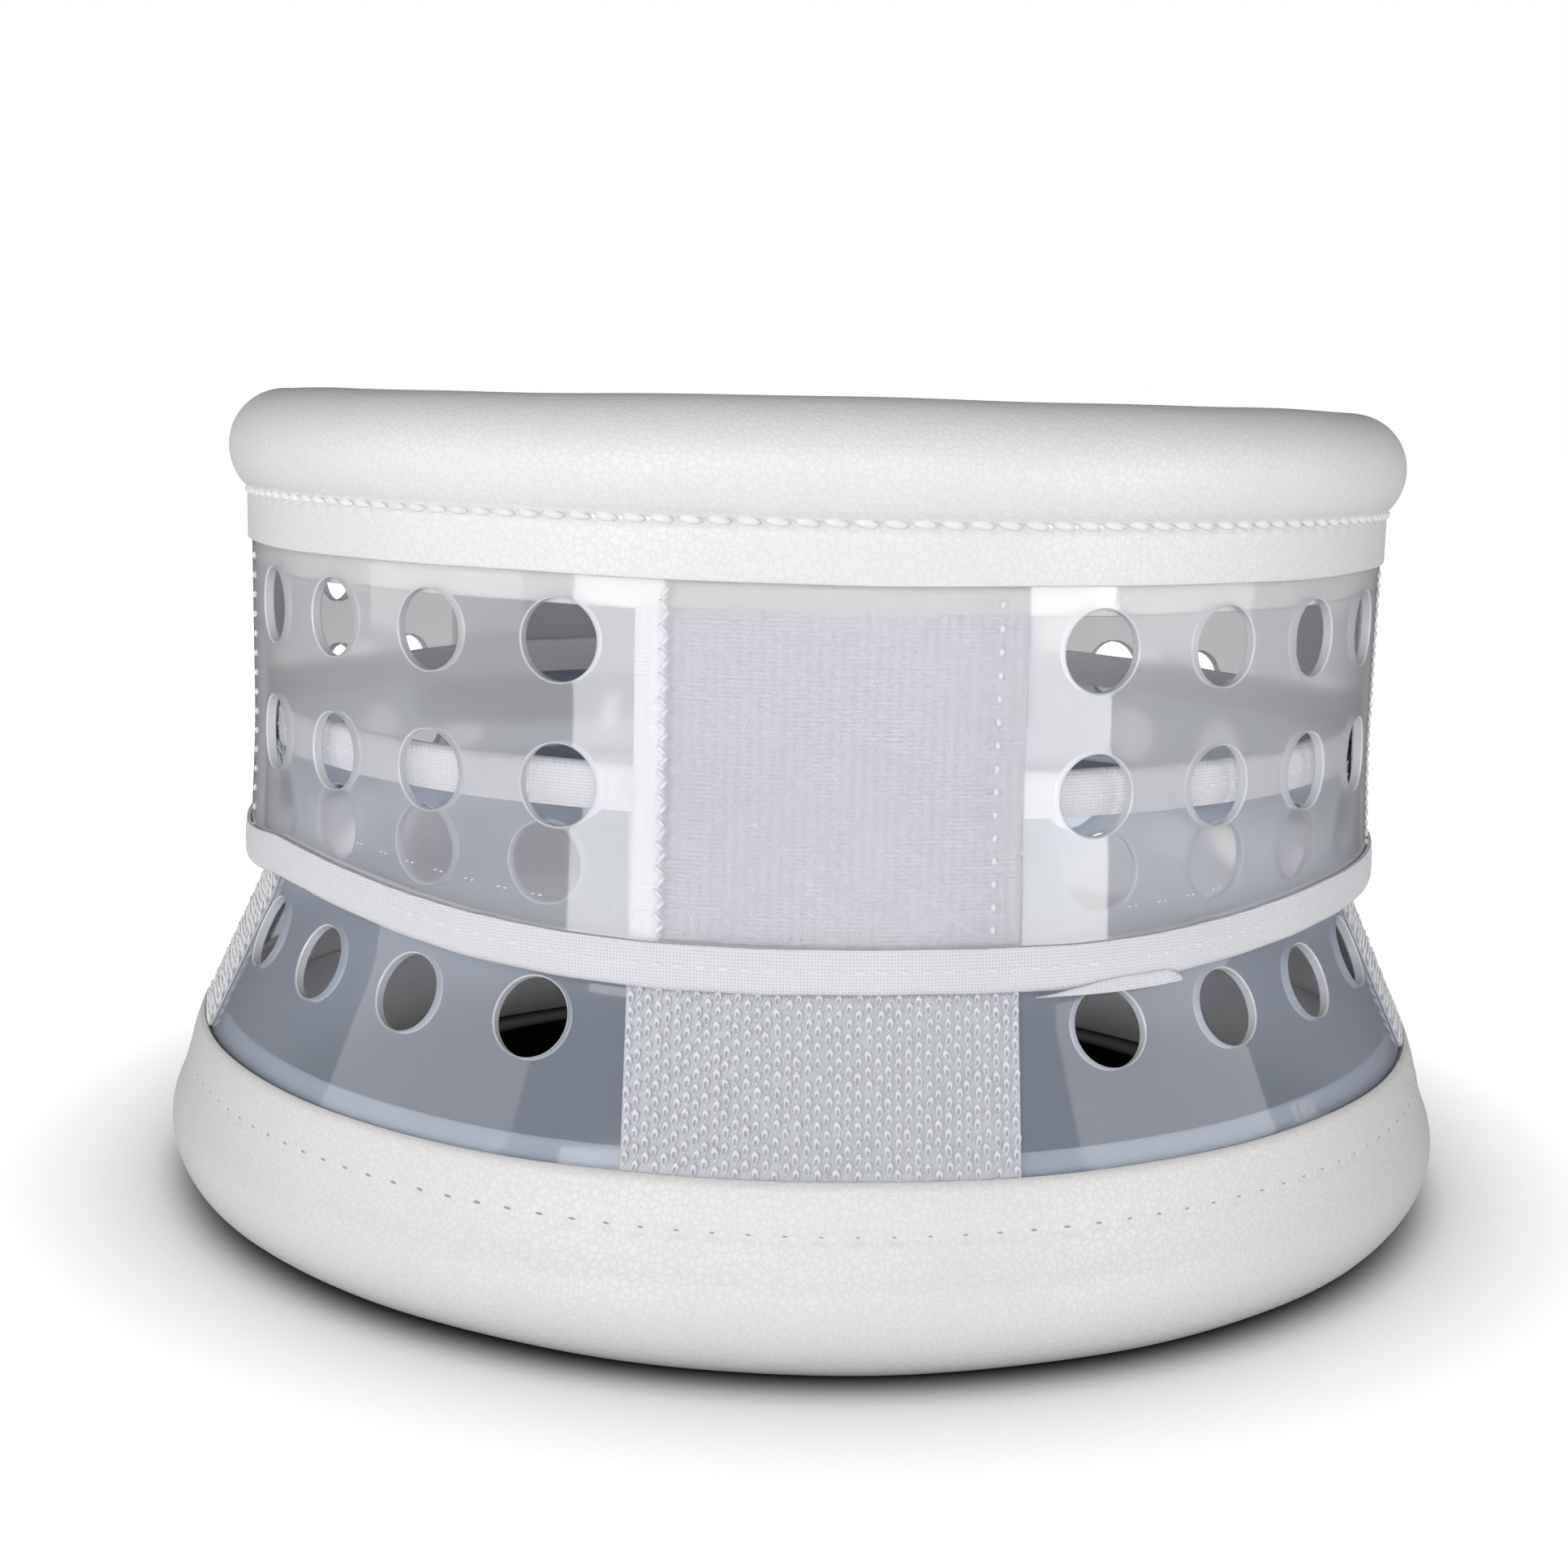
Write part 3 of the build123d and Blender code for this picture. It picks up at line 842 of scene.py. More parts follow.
# === stitching ==============================================================================
@dataclass(frozen=True)
class Stitch:
    """One visible stitch of a lock-stitched seam."""

    length: float = 1.5 * MM
    width: float = 0.42 * MM
    height: float = 0.3 * MM
    slant: float = 0.0

    def template(self) -> bpy.types.Object:
        """A low grain of thread that lies along X."""
        deselect()
        bpy.ops.mesh.primitive_uv_sphere_add(segments=8, ring_count=5, radius=0.5)
        piece = adopt("stitch")
        bpy.ops.object.mode_set(mode="EDIT")
        bpy.ops.mesh.select_all(action="SELECT")
        bpy.ops.transform.resize(value=(self.length, self.width, self.height))
        bpy.ops.object.mode_set(mode="OBJECT")
        points = read_points(piece)
        reach = np.abs(points[:, 0]) / (self.length / 2)
        points[:, 2] -= self.height * 0.9 * reach**4
        write_points(piece, points)
        return piece

    def sew(self, name: str, places: Sequence[Matrix]) -> bpy.types.Object:
        """Repeats the stitch along a seam.

        Args:
            name: The seam's name.
            places: A frame for each stitch: X along the seam and Z out.

        Returns:
            The seam as one piece.
        """
        turn = Matrix.Rotation(self.slant, 4, "Z")
        piece = copies(name, self.template(), [place @ turn for place in places])
        smooth(piece, 80)
        return piece


TAPE_STITCH = Stitch(length=1.35 * MM, width=0.34 * MM, height=0.2 * MM)


def seam_along(
    wall: Wall, span: Span, height: float, depth: float, pitch: float, lift: bool = False
) -> list[Matrix]:
    """Places for a seam that runs round a wall.

    Args:
        wall: The wall that carries it.
        span: Distances along the band of its ends.
        height: Its height on the wall.
        depth: Its distance out from the wall.
        pitch: Distance from stitch to stitch.
        lift: Whether it follows the uneven lower edge of the upper band.

    Returns:
        A frame for each stitch.
    """
    count = max(2, round((span[1] - span[0]) / pitch))
    places = []
    for k in range(count):
        angle = (span[0] + (k + 0.5) * (span[1] - span[0]) / count) / UPPER_RADIUS
        rise = float(front_lift(np.array(angle))) if lift else 0.0
        places.append(wall.axes(angle, height + rise, depth))
    return places


def seam_up(wall: Wall, distance: float, heights: Span, depth: float, pitch: float) -> list[Matrix]:
    """Places for a seam that runs up a wall, with its stitches along it."""
    count = max(2, round((heights[1] - heights[0]) / pitch))
    turn = Matrix.Rotation(math.pi / 2, 4, "Z")
    rows = [heights[0] + (k + 0.5) * (heights[1] - heights[0]) / count for k in range(count)]
    return [wall.axes(distance / UPPER_RADIUS, row, depth) @ turn for row in rows]


def seam_box(wall: Wall, span: Span, heights: Span, depth: float, pitch: float) -> list[Matrix]:
    """Places for a seam along the lower, upper and first edges of a box."""
    places = seam_along(wall, span, heights[0], depth, pitch)
    places += seam_along(wall, span, heights[1], depth, pitch)
    return places + seam_up(wall, span[0], heights, depth, pitch)


# === padded rims ============================================================================
@dataclass(frozen=True)
class Rim:
    """A leatherette cover sewn over the edge of a band, with a foam roll in it."""

    name: str
    body: str
    nodes: tuple[str, str]
    centre: Span
    radius: float
    seam: Span
    seam_pitch: float
    steps_per_stitch: int
    crease: float
    wall: Wall
    stitch: Stitch
    stitch_depth: float
    dent: float

    def section(self) -> Section:
        """Closed outline of the cover, overridden by each rim."""
        raise NotImplementedError

    @property
    def stitch_count(self) -> int:
        """How many stitches the seam has."""
        return round(2 * END_ANGLE * self.seam[0] / self.seam_pitch)

    def phase(self, angle: Array) -> Array:
        """Place within a stitch: whole numbers are at the needle holes."""
        return (angle + END_ANGLE) / (2 * END_ANGLE) * self.stitch_count

    def pucker(self, angle: Array, radius: Array, height: Array) -> tuple[Array, Array]:
        """Pulls the cover in along the seam, and lets it swell between the needle holes.

        Args:
            angle: Angles of the points.
            radius: Their radii.
            height: Their heights.

        Returns:
            The new radii and heights.
        """
        out = np.array([radius - self.centre[0], height - self.centre[1]])
        reach = np.hypot(*out) + 1e-9
        tight = np.hypot(radius - self.seam[0], height - self.seam[1])
        swell = np.abs(np.sin(math.pi * self.phase(angle)))
        near = np.exp(-((tight / (0.55 * MM)) ** 2))
        wide = np.exp(-((tight / (1.5 * MM)) ** 2))
        pull = self.crease * near * (1.15 - 0.5 * swell) - 0.04 * MM * wide * swell
        sunk = np.abs(self.phase(angle) % 1.0 - 0.5) * self.seam_pitch / (0.75 * MM)
        pull += self.dent * np.exp(-((tight / (0.4 * MM)) ** 2) - sunk**4)
        rolled = np.clip((reach - self.radius * 0.9) / (self.radius * 0.1), 0, 1)
        slow = np.sin(3 * angle + 0.7) * 0.10 + np.sin(7 * angle + 2.1) * 0.07 + np.sin(17 * angle) * 0.03
        sway = slow * MM * rolled * (1 - near)
        radius = radius - pull + sway * out[0] / reach
        height = height + sway * out[1] / reach
        return self.round_ends(angle, radius, height)

    def round_ends(self, angle: Array, radius: Array, height: Array) -> tuple[Array, Array]:
        """Closes the roll's two ends with a rounded cap."""
        left = (END_ANGLE - np.abs(angle)) * self.centre[0] / (2.4 * MM)
        share = (1 - np.clip(1 - left, 0, 0.985) ** 4) ** 0.25
        out, up = radius - self.centre[0], height - self.centre[1]
        share = np.where(np.hypot(out, up) < self.radius * 1.03, share, 1.0)
        return self.centre[0] + out * share, self.centre[1] + up * share

    def build(self, wardrobe: Wardrobe) -> bpy.types.Object:
        """Makes the cover and its seam, and gives the foam its finish.

        Args:
            wardrobe: The materials.

        Returns:
            The cover.
        """
        steps = self.stitch_count * self.steps_per_stitch
        cover = spun(self.name, self.section(), -END_ANGLE, END_ANGLE, steps)
        reshape(cover, self.pucker)
        smooth(cover, 60)
        wardrobe.dress(cover, Slot.LEATHER, self.body, self.nodes[0])
        places = []
        for k in range(self.stitch_count):
            angle = -END_ANGLE + (k + 0.5) * 2 * END_ANGLE / self.stitch_count
            places.append(self.wall.axes(angle, self.seam[1], self.stitch_depth))
        seam = self.stitch.sew(self.name.replace("cover", "seam"), places)
        wardrobe.dress(seam, Slot.THREAD, self.body)
        # Painted shade: stitches sunk in dents get the grey copy of the thread.
        if self.dent:
            seam.data.materials[0] = wardrobe.sunk
        foam = frame["nodes"][self.nodes[1]]
        for holder in foam.material_slots:
            holder.material = wardrobe.materials[Slot.FOAM]
        return cover


class ChinRim(Rim):
    """The roll under the chin, on the upper band's top edge."""

    def section(self) -> Section:
        """Outline: strip outside the sheet, roll over the edge, flap inside it, and the slot between them."""
        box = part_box("upper_rim_cover")
        outer = UPPER_RADIUS + LAP_GAP + 0.22 * MM
        inner = UPPER_RADIUS - SHEET_THICKNESS - LAP_GAP - 0.4 * MM
        skin = 0.22 * MM
        strip_low, flap_low = 74.42 * MM, box[0].z + 0.4 * MM
        slot_top = 79.95 * MM
        face = outer + skin
        strip = line((face, strip_low), (face, self.seam[1] - 0.9 * MM), 8)
        strip += line((face, self.seam[1] - 0.9 * MM), (face, self.seam[1] + 0.2 * MM), 5)
        lowest = -math.degrees(math.acos((face - self.centre[0]) / self.radius))
        last = 360 - math.degrees(math.acos((inner - 0.4 * MM - self.centre[0]) / self.radius))
        roll = arc(self.centre, self.radius, lowest, last, 50)
        flap = line((inner - 0.4 * MM, roll[-1][1] - 0.6 * MM), (inner - 0.4 * MM, flap_low), 7)
        flap += arc((inner, flap_low), 0.4 * MM, 180, 360, 5)
        back = line((inner + 0.4 * MM, flap_low + 0.5 * MM), (inner + 0.4 * MM, slot_top), 4)
        back += line((inner + 0.4 * MM, slot_top), (outer - skin, slot_top), 2)
        back += line((outer - skin, slot_top), (outer - skin, strip_low), 4)
        return strip + roll + flap + back + arc((outer, strip_low), skin, 180, 330, 4)


class ShoulderRim(Rim):
    """The roll that rests on the shoulders, on the lower band's bottom edge."""

    def section(self) -> Section:
        """Outline: strip down the flare, roll under the edge, flap up the inside, and the slot."""
        wall, skin = LOWER_WALL, 0.8 * MM
        strip_top, flap_top, slot_low = 18.8 * MM, 21.0 * MM, 12.8 * MM
        inner = -SHEET_THICKNESS - LAP_GAP

        def face(rows: Array, depth: float) -> Section:
            """Points at one depth on the sheet, at each height."""
            return [tuple(float(c) for c in wall.lifted(row, depth)) for row in rows]

        strip = face(np.linspace(strip_top, self.seam[1] + 0.9 * MM, 6), LAP_GAP + skin)
        start, first = arc(self.centre, self.radius, 24.0, 24.0, 1)[0], math.radians(24.0)
        lead = (strip[-1][0] - strip[-2][0], strip[-1][1] - strip[-2][1])
        gap = math.dist(strip[-1], start)
        scale = gap / math.hypot(*lead)
        trail = (gap * math.sin(first), -gap * math.cos(first))
        slope = curve(strip[-1], (lead[0] * scale, lead[1] * scale), start, trail, 20)
        roll = [(r, max(z, 0.0)) for r, z in arc(self.centre, self.radius, 24.0, -291.5, 46)]
        flap = face(np.linspace(14.7 * MM, flap_top, 6), inner - skin)
        tip = face([flap_top], inner - skin / 2)[0]
        hidden = face(np.linspace(flap_top, slot_low, 5), inner)
        outside = face(np.linspace(slot_low, strip_top, 4), LAP_GAP)
        crown = face([strip_top], LAP_GAP + skin / 2)[0]
        caps = [(r, z + 0.35 * MM) for r, z in (tip, crown)]
        return strip + slope + roll + flap + caps[:1] + hidden + outside + caps[1:]


# === bands ==================================================================================
@dataclass(frozen=True)
class Band:
    """One perforated band: its sheet, its bound edge and its bound ends."""

    name: str
    body: str
    wall: Wall
    front_holes: Span
    hole_heights: Span
    edge_height: float
    edge_turn: int

    @property
    def heights(self) -> Span:
        """Lowest and highest point of the sheet."""
        low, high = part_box(f"{self.name}_sheet")
        return low.z, high.z

    def cutter(self) -> bpy.types.Object:
        """All the hole cutters as one object, each a spool that also chamfers both faces."""
        spools = []
        reach = SHEET_THICKNESS / 2
        first, pitch = self.front_holes
        front = [(first + pitch * k) * UPPER_RADIUS / self.wall.radius for k in range(4)]
        for side in (-1, 1):
            for distance in front + REAR_HOLES:
                for height in self.hole_heights:
                    spools.append(self.spool(side * distance, height, reach))
        return join(spools, "hole_cutters")

    def spool(self, distance: float, height: float, reach: float) -> bpy.types.Object:
        """One cutter, stretched so that its hole is round once the sheet is bent.

        Args:
            distance: Distance along the band.
            height: Height of the hole's middle.
            reach: Half the sheet's thickness.

        Returns:
            The cutter.
        """
        deselect()
        bpy.ops.mesh.primitive_cylinder_add(vertices=56, radius=HOLE_RADIUS, depth=4 * reach)
        piece = adopt("spool")
        bpy.ops.object.mode_set(mode="EDIT")
        for level in (-reach + HOLE_CHAMFER, reach - HOLE_CHAMFER):
            bpy.ops.mesh.select_all(action="SELECT")
            bpy.ops.mesh.bisect(plane_co=(0, 0, level), plane_no=(0, 0, 1))
        bpy.ops.object.mode_set(mode="OBJECT")
        points = read_points(piece)
        past = np.clip(np.abs(points[:, 2]) - (reach - HOLE_CHAMFER), 0, None)
        spread = 1 + past / HOLE_RADIUS
        slope = float(self.wall.slope_at(height))
        points[:, 0] *= spread * UPPER_RADIUS / float(self.wall.radius_at(height))
        points[:, 1] *= spread / math.sqrt(1 + slope**2)
        points += np.array([distance, height, -reach])
        write_points(piece, points)
        return piece

    def sheet(self, wardrobe: Wardrobe) -> bpy.types.Object:
        """The moulded sheet with its holes."""
        low, high = self.heights
        span, depths = (-HALF_LENGTH, HALF_LENGTH), (-SHEET_THICKNESS, 0.0)
        piece = panel(f"{self.name}_band_sheet", span, (low, high), depths, 1.6 * MM)
        cutter = self.cutter()
        apply_modifier(piece, "BOOLEAN", object=cutter, operation="DIFFERENCE", solver="EXACT")
        bpy.data.objects.remove(cutter, do_unlink=True)
        walls = [abs(face.normal.z) < 0.9 for face in piece.data.polygons]
        rule = self.raise_edge if self.name == "upper" else None
        bend_on(piece, self.wall, rule)
        smooth(piece, 28)
        wardrobe.dress(piece, Slot.SHEET, self.body, f"{self.name}_sheet")
        # Painted shade: the lower band gets the darker copy of the sheet.
        if self.name == "lower":
            piece.data.materials[0] = wardrobe.lower_sheet
        piece.data.materials.append(wardrobe.cut)
        for face, cut in zip(piece.data.polygons, walls):
            face.material_index = int(cut)
        return piece

    @staticmethod
    def raise_edge(flat: Array) -> Array:
        """Lifts the flat sheet's lower edge to the uneven seam."""
        flat = flat.copy()
        flat[:, 1] += front_lift(flat[:, 0] / UPPER_RADIUS) * edge_share(flat[:, 1])
        return flat

    def edge_tape(self, wardrobe: Wardrobe) -> bpy.types.Object:
        """Tape folded over the band's bare edge."""
        turn = self.edge_turn
        far = self.edge_height
        near = far - turn * BINDING_WIDTH
        skin = BINDING_THICKNESS
        outer, inner = LAP_GAP, -SHEET_THICKNESS - LAP_GAP
        fold = far - turn * 0.95 * MM
        mid = (outer + inner) / 2
        half = (outer - inner) / 2 + skin
        rise, belly = turn * 0.95 * MM, 0.10 * MM
        steps, turns = np.linspace(0, 1, 9), np.linspace(0.2, math.pi - 0.2, 9)
        outside = [(outer + skin + belly * math.sin(math.pi * t), near + (fold - near) * t) for t in steps]
        bend = [(mid + half * math.cos(t), fold + rise * math.sin(t)) for t in turns]
        inside = [(inner - skin, fold + (near - fold) * t) for t in np.linspace(0, 1, 7)]
        levels = (near, (near + fold) / 2, fold)
        back = [(inner, level) for level in levels] + [(outer, level) for level in reversed(levels)]
        flat = np.array(outside + bend + inside + back)
        radius, height = self.wall.lifted(flat[:, 1], flat[:, 0])
        section = [(float(r), float(z)) for r, z in zip(radius, height)]
        reach = END_ANGLE + 0.45 * MM / UPPER_RADIUS
        piece = spun(f"{self.name}_edge_tape", section, -reach, reach, 720)
        reshape(piece, self.tape_wave)
        points = read_points(piece)
        lay_uv(piece, np.arctan2(points[:, 0], -points[:, 1]) * UPPER_RADIUS, points[:, 2])
        smooth(piece, 60)
        return wardrobe.dress(piece, Slot.BINDING, self.body, f"{self.name}_edge_binding")

    def tape_wave(self, angle: Array, radius: Array, height: Array) -> tuple[Array, Array]:
        """Small unevenness of a hand-fed tape, and the lift of the upper band's edge."""
        far = np.abs(height - self.edge_height) / BINDING_WIDTH
        sway = 0.10 * np.sin(5 * angle + 1.0) + 0.06 * np.sin(13 * angle) + 0.03 * np.sin(41 * angle + 2.0)
        height = height + sway * MM * (1 - 0.5 * far)
        if self.name == "upper":
            height = height + front_lift(angle)
        return radius, height

    def edge_seam(self, wardrobe: Wardrobe) -> bpy.types.Object:
        """Stitches through the folded tape."""
        height = self.edge_height - self.edge_turn * 2.5 * MM
        span = (-HALF_LENGTH + 2 * MM, HALF_LENGTH - 2 * MM)
        depth = LAP_GAP + BINDING_THICKNESS + 0.12 * MM
        places = seam_along(self.wall, span, height, depth, 2.1 * MM, lift=self.name == "upper")
        return wardrobe.dress(TAPE_STITCH.sew(f"{self.name}_edge_seam", places), Slot.THREAD, self.body)

    def tape_end(self, wardrobe: Wardrobe) -> None:
        """The overlapped end of the upper edge's tape, and the needle marks left above it."""
        span = (20.0 * MM, 36.4 * MM)
        depth = LAP_GAP + BINDING_THICKNESS + 0.05 * MM
        heights = (self.edge_height - 0.35 * MM, self.edge_height + 1.05 * MM)
        depths = (depth, depth + 0.3 * MM)
        piece = panel(f"{self.name}_edge_tape_end", span, heights, depths, 0.4 * MM, 0.1 * MM)

        def tapered(flat: Array) -> Array:
            """Narrows the end to a blunt point at the right and a long one at the left."""
            flat = flat.copy()
            share = (flat[:, 0] - span[0]) / (span[1] - span[0])
            width = ease(share / 0.6) ** 0.8 * np.sqrt(np.clip((1.0 - share) / 0.12, 0.0, 1.0))
            flat[:, 1] = heights[0] + (flat[:, 1] - heights[0]) * (0.05 + 0.95 * width)
            flat[:, 1] += front_lift(flat[:, 0] / UPPER_RADIUS) - 0.25 * MM * ease(share)
            return flat

        bend_on(piece, self.wall, tapered)
        smooth(piece, 60)
        wardrobe.dress(piece, Slot.BINDING, self.body)
        mark = Stitch(length=0.5 * MM, width=0.16 * MM, height=0.1 * MM, slant=0.25)
        height = self.edge_height + BINDING_WIDTH + 3.0 * MM
        places = []
        for start, end in ((-54.0 * MM, -15.0 * MM), (25.0 * MM, 43.0 * MM)):
            for gap in (0.0, 0.75 * MM):
                places += seam_along(self.wall, (start + gap, end + gap), height, 0.0, 3.9 * MM, lift=True)
        wardrobe.dress(mark.sew(f"{self.name}_needle_marks", places), Slot.THREAD, self.body)

    def end_tapes(self, wardrobe: Wardrobe) -> None:
        """Tape folded over each upright end of the band, with its seam."""
        for side, word in ((-1, "left"), (1, "right")):
            node = f"{self.name}_end_binding_{word}"
            low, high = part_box(node)
            skin = BINDING_THICKNESS
            tip = HALF_LENGTH + skin
            start = HALF_LENGTH - BINDING_WIDTH + skin
            span = (start, tip) if side > 0 else (-tip, -start)
            heights, depths = (low.z, high.z), (-SHEET_THICKNESS - skin - LAP_GAP, LAP_GAP + skin)
            piece = panel(f"{self.name}_end_tape_{word}", span, heights, depths, 0.9 * MM, 0.3 * MM)
            bend_on(piece, self.wall)
            smooth(piece, 60)
            wardrobe.dress(piece, Slot.BINDING, self.body, node)
            rows = (low.z + MM, high.z - MM)
            places = seam_up(self.wall, side * (start + 1.2 * MM), rows, LAP_GAP + skin, 2.1 * MM)
            wardrobe.dress(TAPE_STITCH.sew(f"{self.name}_end_seam_{word}", places), Slot.THREAD, self.body)

    def build(self, wardrobe: Wardrobe) -> None:
        """Makes the band's sheet, tapes and seams."""
        self.sheet(wardrobe)
        self.edge_tape(wardrobe)
        self.edge_seam(wardrobe)
        self.end_tapes(wardrobe)
        if self.name == "upper":
            self.tape_end(wardrobe)


# === hook-and-loop patches ==================================================================
class Place(Enum):
    """Where a patch is sewn, with the distance along the band of its middle."""

    LEFT = -(SIDE_PATCH_DISTANCE + PATCH_WIDTH / 2)
    FRONT = 0.0
    RIGHT = SIDE_PATCH_DISTANCE + PATCH_WIDTH / 2


@dataclass(frozen=True)
class LoopTape:
    """Knitted loop tape: a thin ground covered with staggered teardrop loops."""

    name: str
    body: str
    node: str
    wall: Wall
    span: Span
    heights: Span
    depth: float = LAP_GAP
    ground: float = 0.22 * MM
    column: float = 0.93 * MM
    row: float = 1.35 * MM

    def upright(self, flat: Array) -> Array:
        """Keeps the tape's width the same at every height, as far as the bend is concerned."""
        flat = flat.copy()
        middle = sum(self.span) / 2
        flat[:, 0] = middle + (flat[:, 0] - middle) * UPPER_RADIUS / self.wall.radius_at(flat[:, 1])
        return flat

    def loop(self) -> bpy.types.Object:
        """One loop of yarn, its lower end pulled to a point."""
        deselect()
        bpy.ops.mesh.primitive_torus_add(
            major_segments=8, minor_segments=4, major_radius=0.5, minor_radius=0.22
        )
        piece = adopt("loop")
        points = read_points(piece)
        rise = np.clip(points[:, 1] + 0.5, 0.0, 1.0)
        points[:, 0] *= 0.36 + 0.64 * rise**0.7
        points *= np.array([0.62 * MM, 1.12 * MM, 0.62 * MM])
        write_points(piece, points)
        return piece

    def build(self, wardrobe: Wardrobe, seed: int) -> bpy.types.Object:
        """Makes the tape.

        Args:
            wardrobe: The materials.
            seed: Seed for the small differences between loops.

        Returns:
            The tape as one piece.
        """
        dice = np.random.default_rng(seed)
        ground = panel(self.name, self.span, self.heights, (self.depth, self.depth + self.ground), 1.5 * MM)
        bend_on(ground, self.wall, self.upright)
        plain = len(ground.data.polygons)
        columns = int((self.span[1] - self.span[0]) / self.column)
        rows = int((self.heights[1] - self.heights[0]) / self.row)
        places = []
        for i in range(columns):
            for j in range(rows):
                along = self.span[0] + (i + 0.5) * (self.span[1] - self.span[0]) / columns
                shift = 0.25 if i % 2 else 0.75
                up = self.heights[0] + (j + shift) * (self.heights[1] - self.heights[0]) / rows
                nudge = dice.normal(0.0, 0.05 * MM, 2)
                lean, twist = 0.32 + dice.normal(0.0, 0.08), dice.normal(0.0, 0.12)
                spot = self.upright(np.array([[along + nudge[0], up + nudge[1], 0.0]]))[0]
                place = self.wall.axes(spot[0] / UPPER_RADIUS, spot[1], self.depth + self.ground + 0.16 * MM)
                turn = Matrix.Rotation(lean, 4, "X") @ Matrix.Rotation(twist, 4, "Z")
                places.append(place @ turn @ Matrix.Scale(1 + dice.normal(0.0, 0.05), 4))
        pile = copies("pile", self.loop(), places)
        smooth(pile, 80)
        points = read_points(pile)
        lay_uv(pile, points[:, 0], points[:, 2])
        piece = join([ground, pile], self.name)
        wardrobe.dress(piece, Slot.LOOP, self.body, self.node)
        # Painted shade: the ground between the loops gets the darker yarn.
        piece.data.materials.append(wardrobe.ground)
        for face in piece.data.polygons[:plain]:
            face.material_index = 1
        return piece


@dataclass(frozen=True)
class HookTape:
    """Woven hook tape sewn inside the upper sheet, with its two seams showing outside."""

    place: Place
    top: float
    pitch: float = 2.25 * MM

    def build(self, wardrobe: Wardrobe) -> None:
        """Makes the backing and its seams.

        Args:
            wardrobe: The materials.
        """
        word = self.place.name.lower()
        node = f"{word}_hook_patch"
        low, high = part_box(node)
        span = (self.place.value - PATCH_WIDTH / 2, self.place.value + PATCH_WIDTH / 2)
        inner = -SHEET_THICKNESS - LAP_GAP
        depths = (inner - TAPE_THICKNESS, inner)
        piece = panel(f"{word}_hook_tape", span, (low.z, self.top), depths, 1.2 * MM, 0.12 * MM)
        bend_on(piece, UPPER_WALL, Band.raise_edge)
        smooth(piece, 50)
        wardrobe.dress(piece, Slot.HOOK, "upper_band", node)
        for side, hand in ((-1, "left"), (1, "right")):
            distance = self.place.value + side * 15.8 * MM
            places = self.seam(distance, (low.z + 0.6 * MM, 73.6 * MM), zigzag=side < 0)
            stitch = Stitch(length=(1.5 if side < 0 else 1.0) * MM, width=0.5 * MM, height=0.36 * MM)
            wardrobe.dress(stitch.sew(f"{word}_hook_seam_{hand}", places), Slot.THREAD, "upper_band")

    def seam(self, distance: float, heights: Span, zigzag: bool) -> list[Matrix]:
        """Places for one seam, straight or zigzag.

        Args:
            distance: Distance along the band.
            heights: Its ends.
            zigzag: Whether the stitches lean in turn to each side.

        Returns:
            A frame for each stitch.
        """
        places = seam_up(UPPER_WALL, distance, heights, 0.05 * MM, self.pitch / (2 if zigzag else 1))
        if not zigzag:
            return places
        turned = []
        for k, place in enumerate(places):
            side = 1 if k % 2 else -1
            step = Matrix.Translation((0, side * 0.1 * MM, 0))
            turned.append(place @ step @ Matrix.Rotation(side * 0.7, 4, "Z"))
        return turned


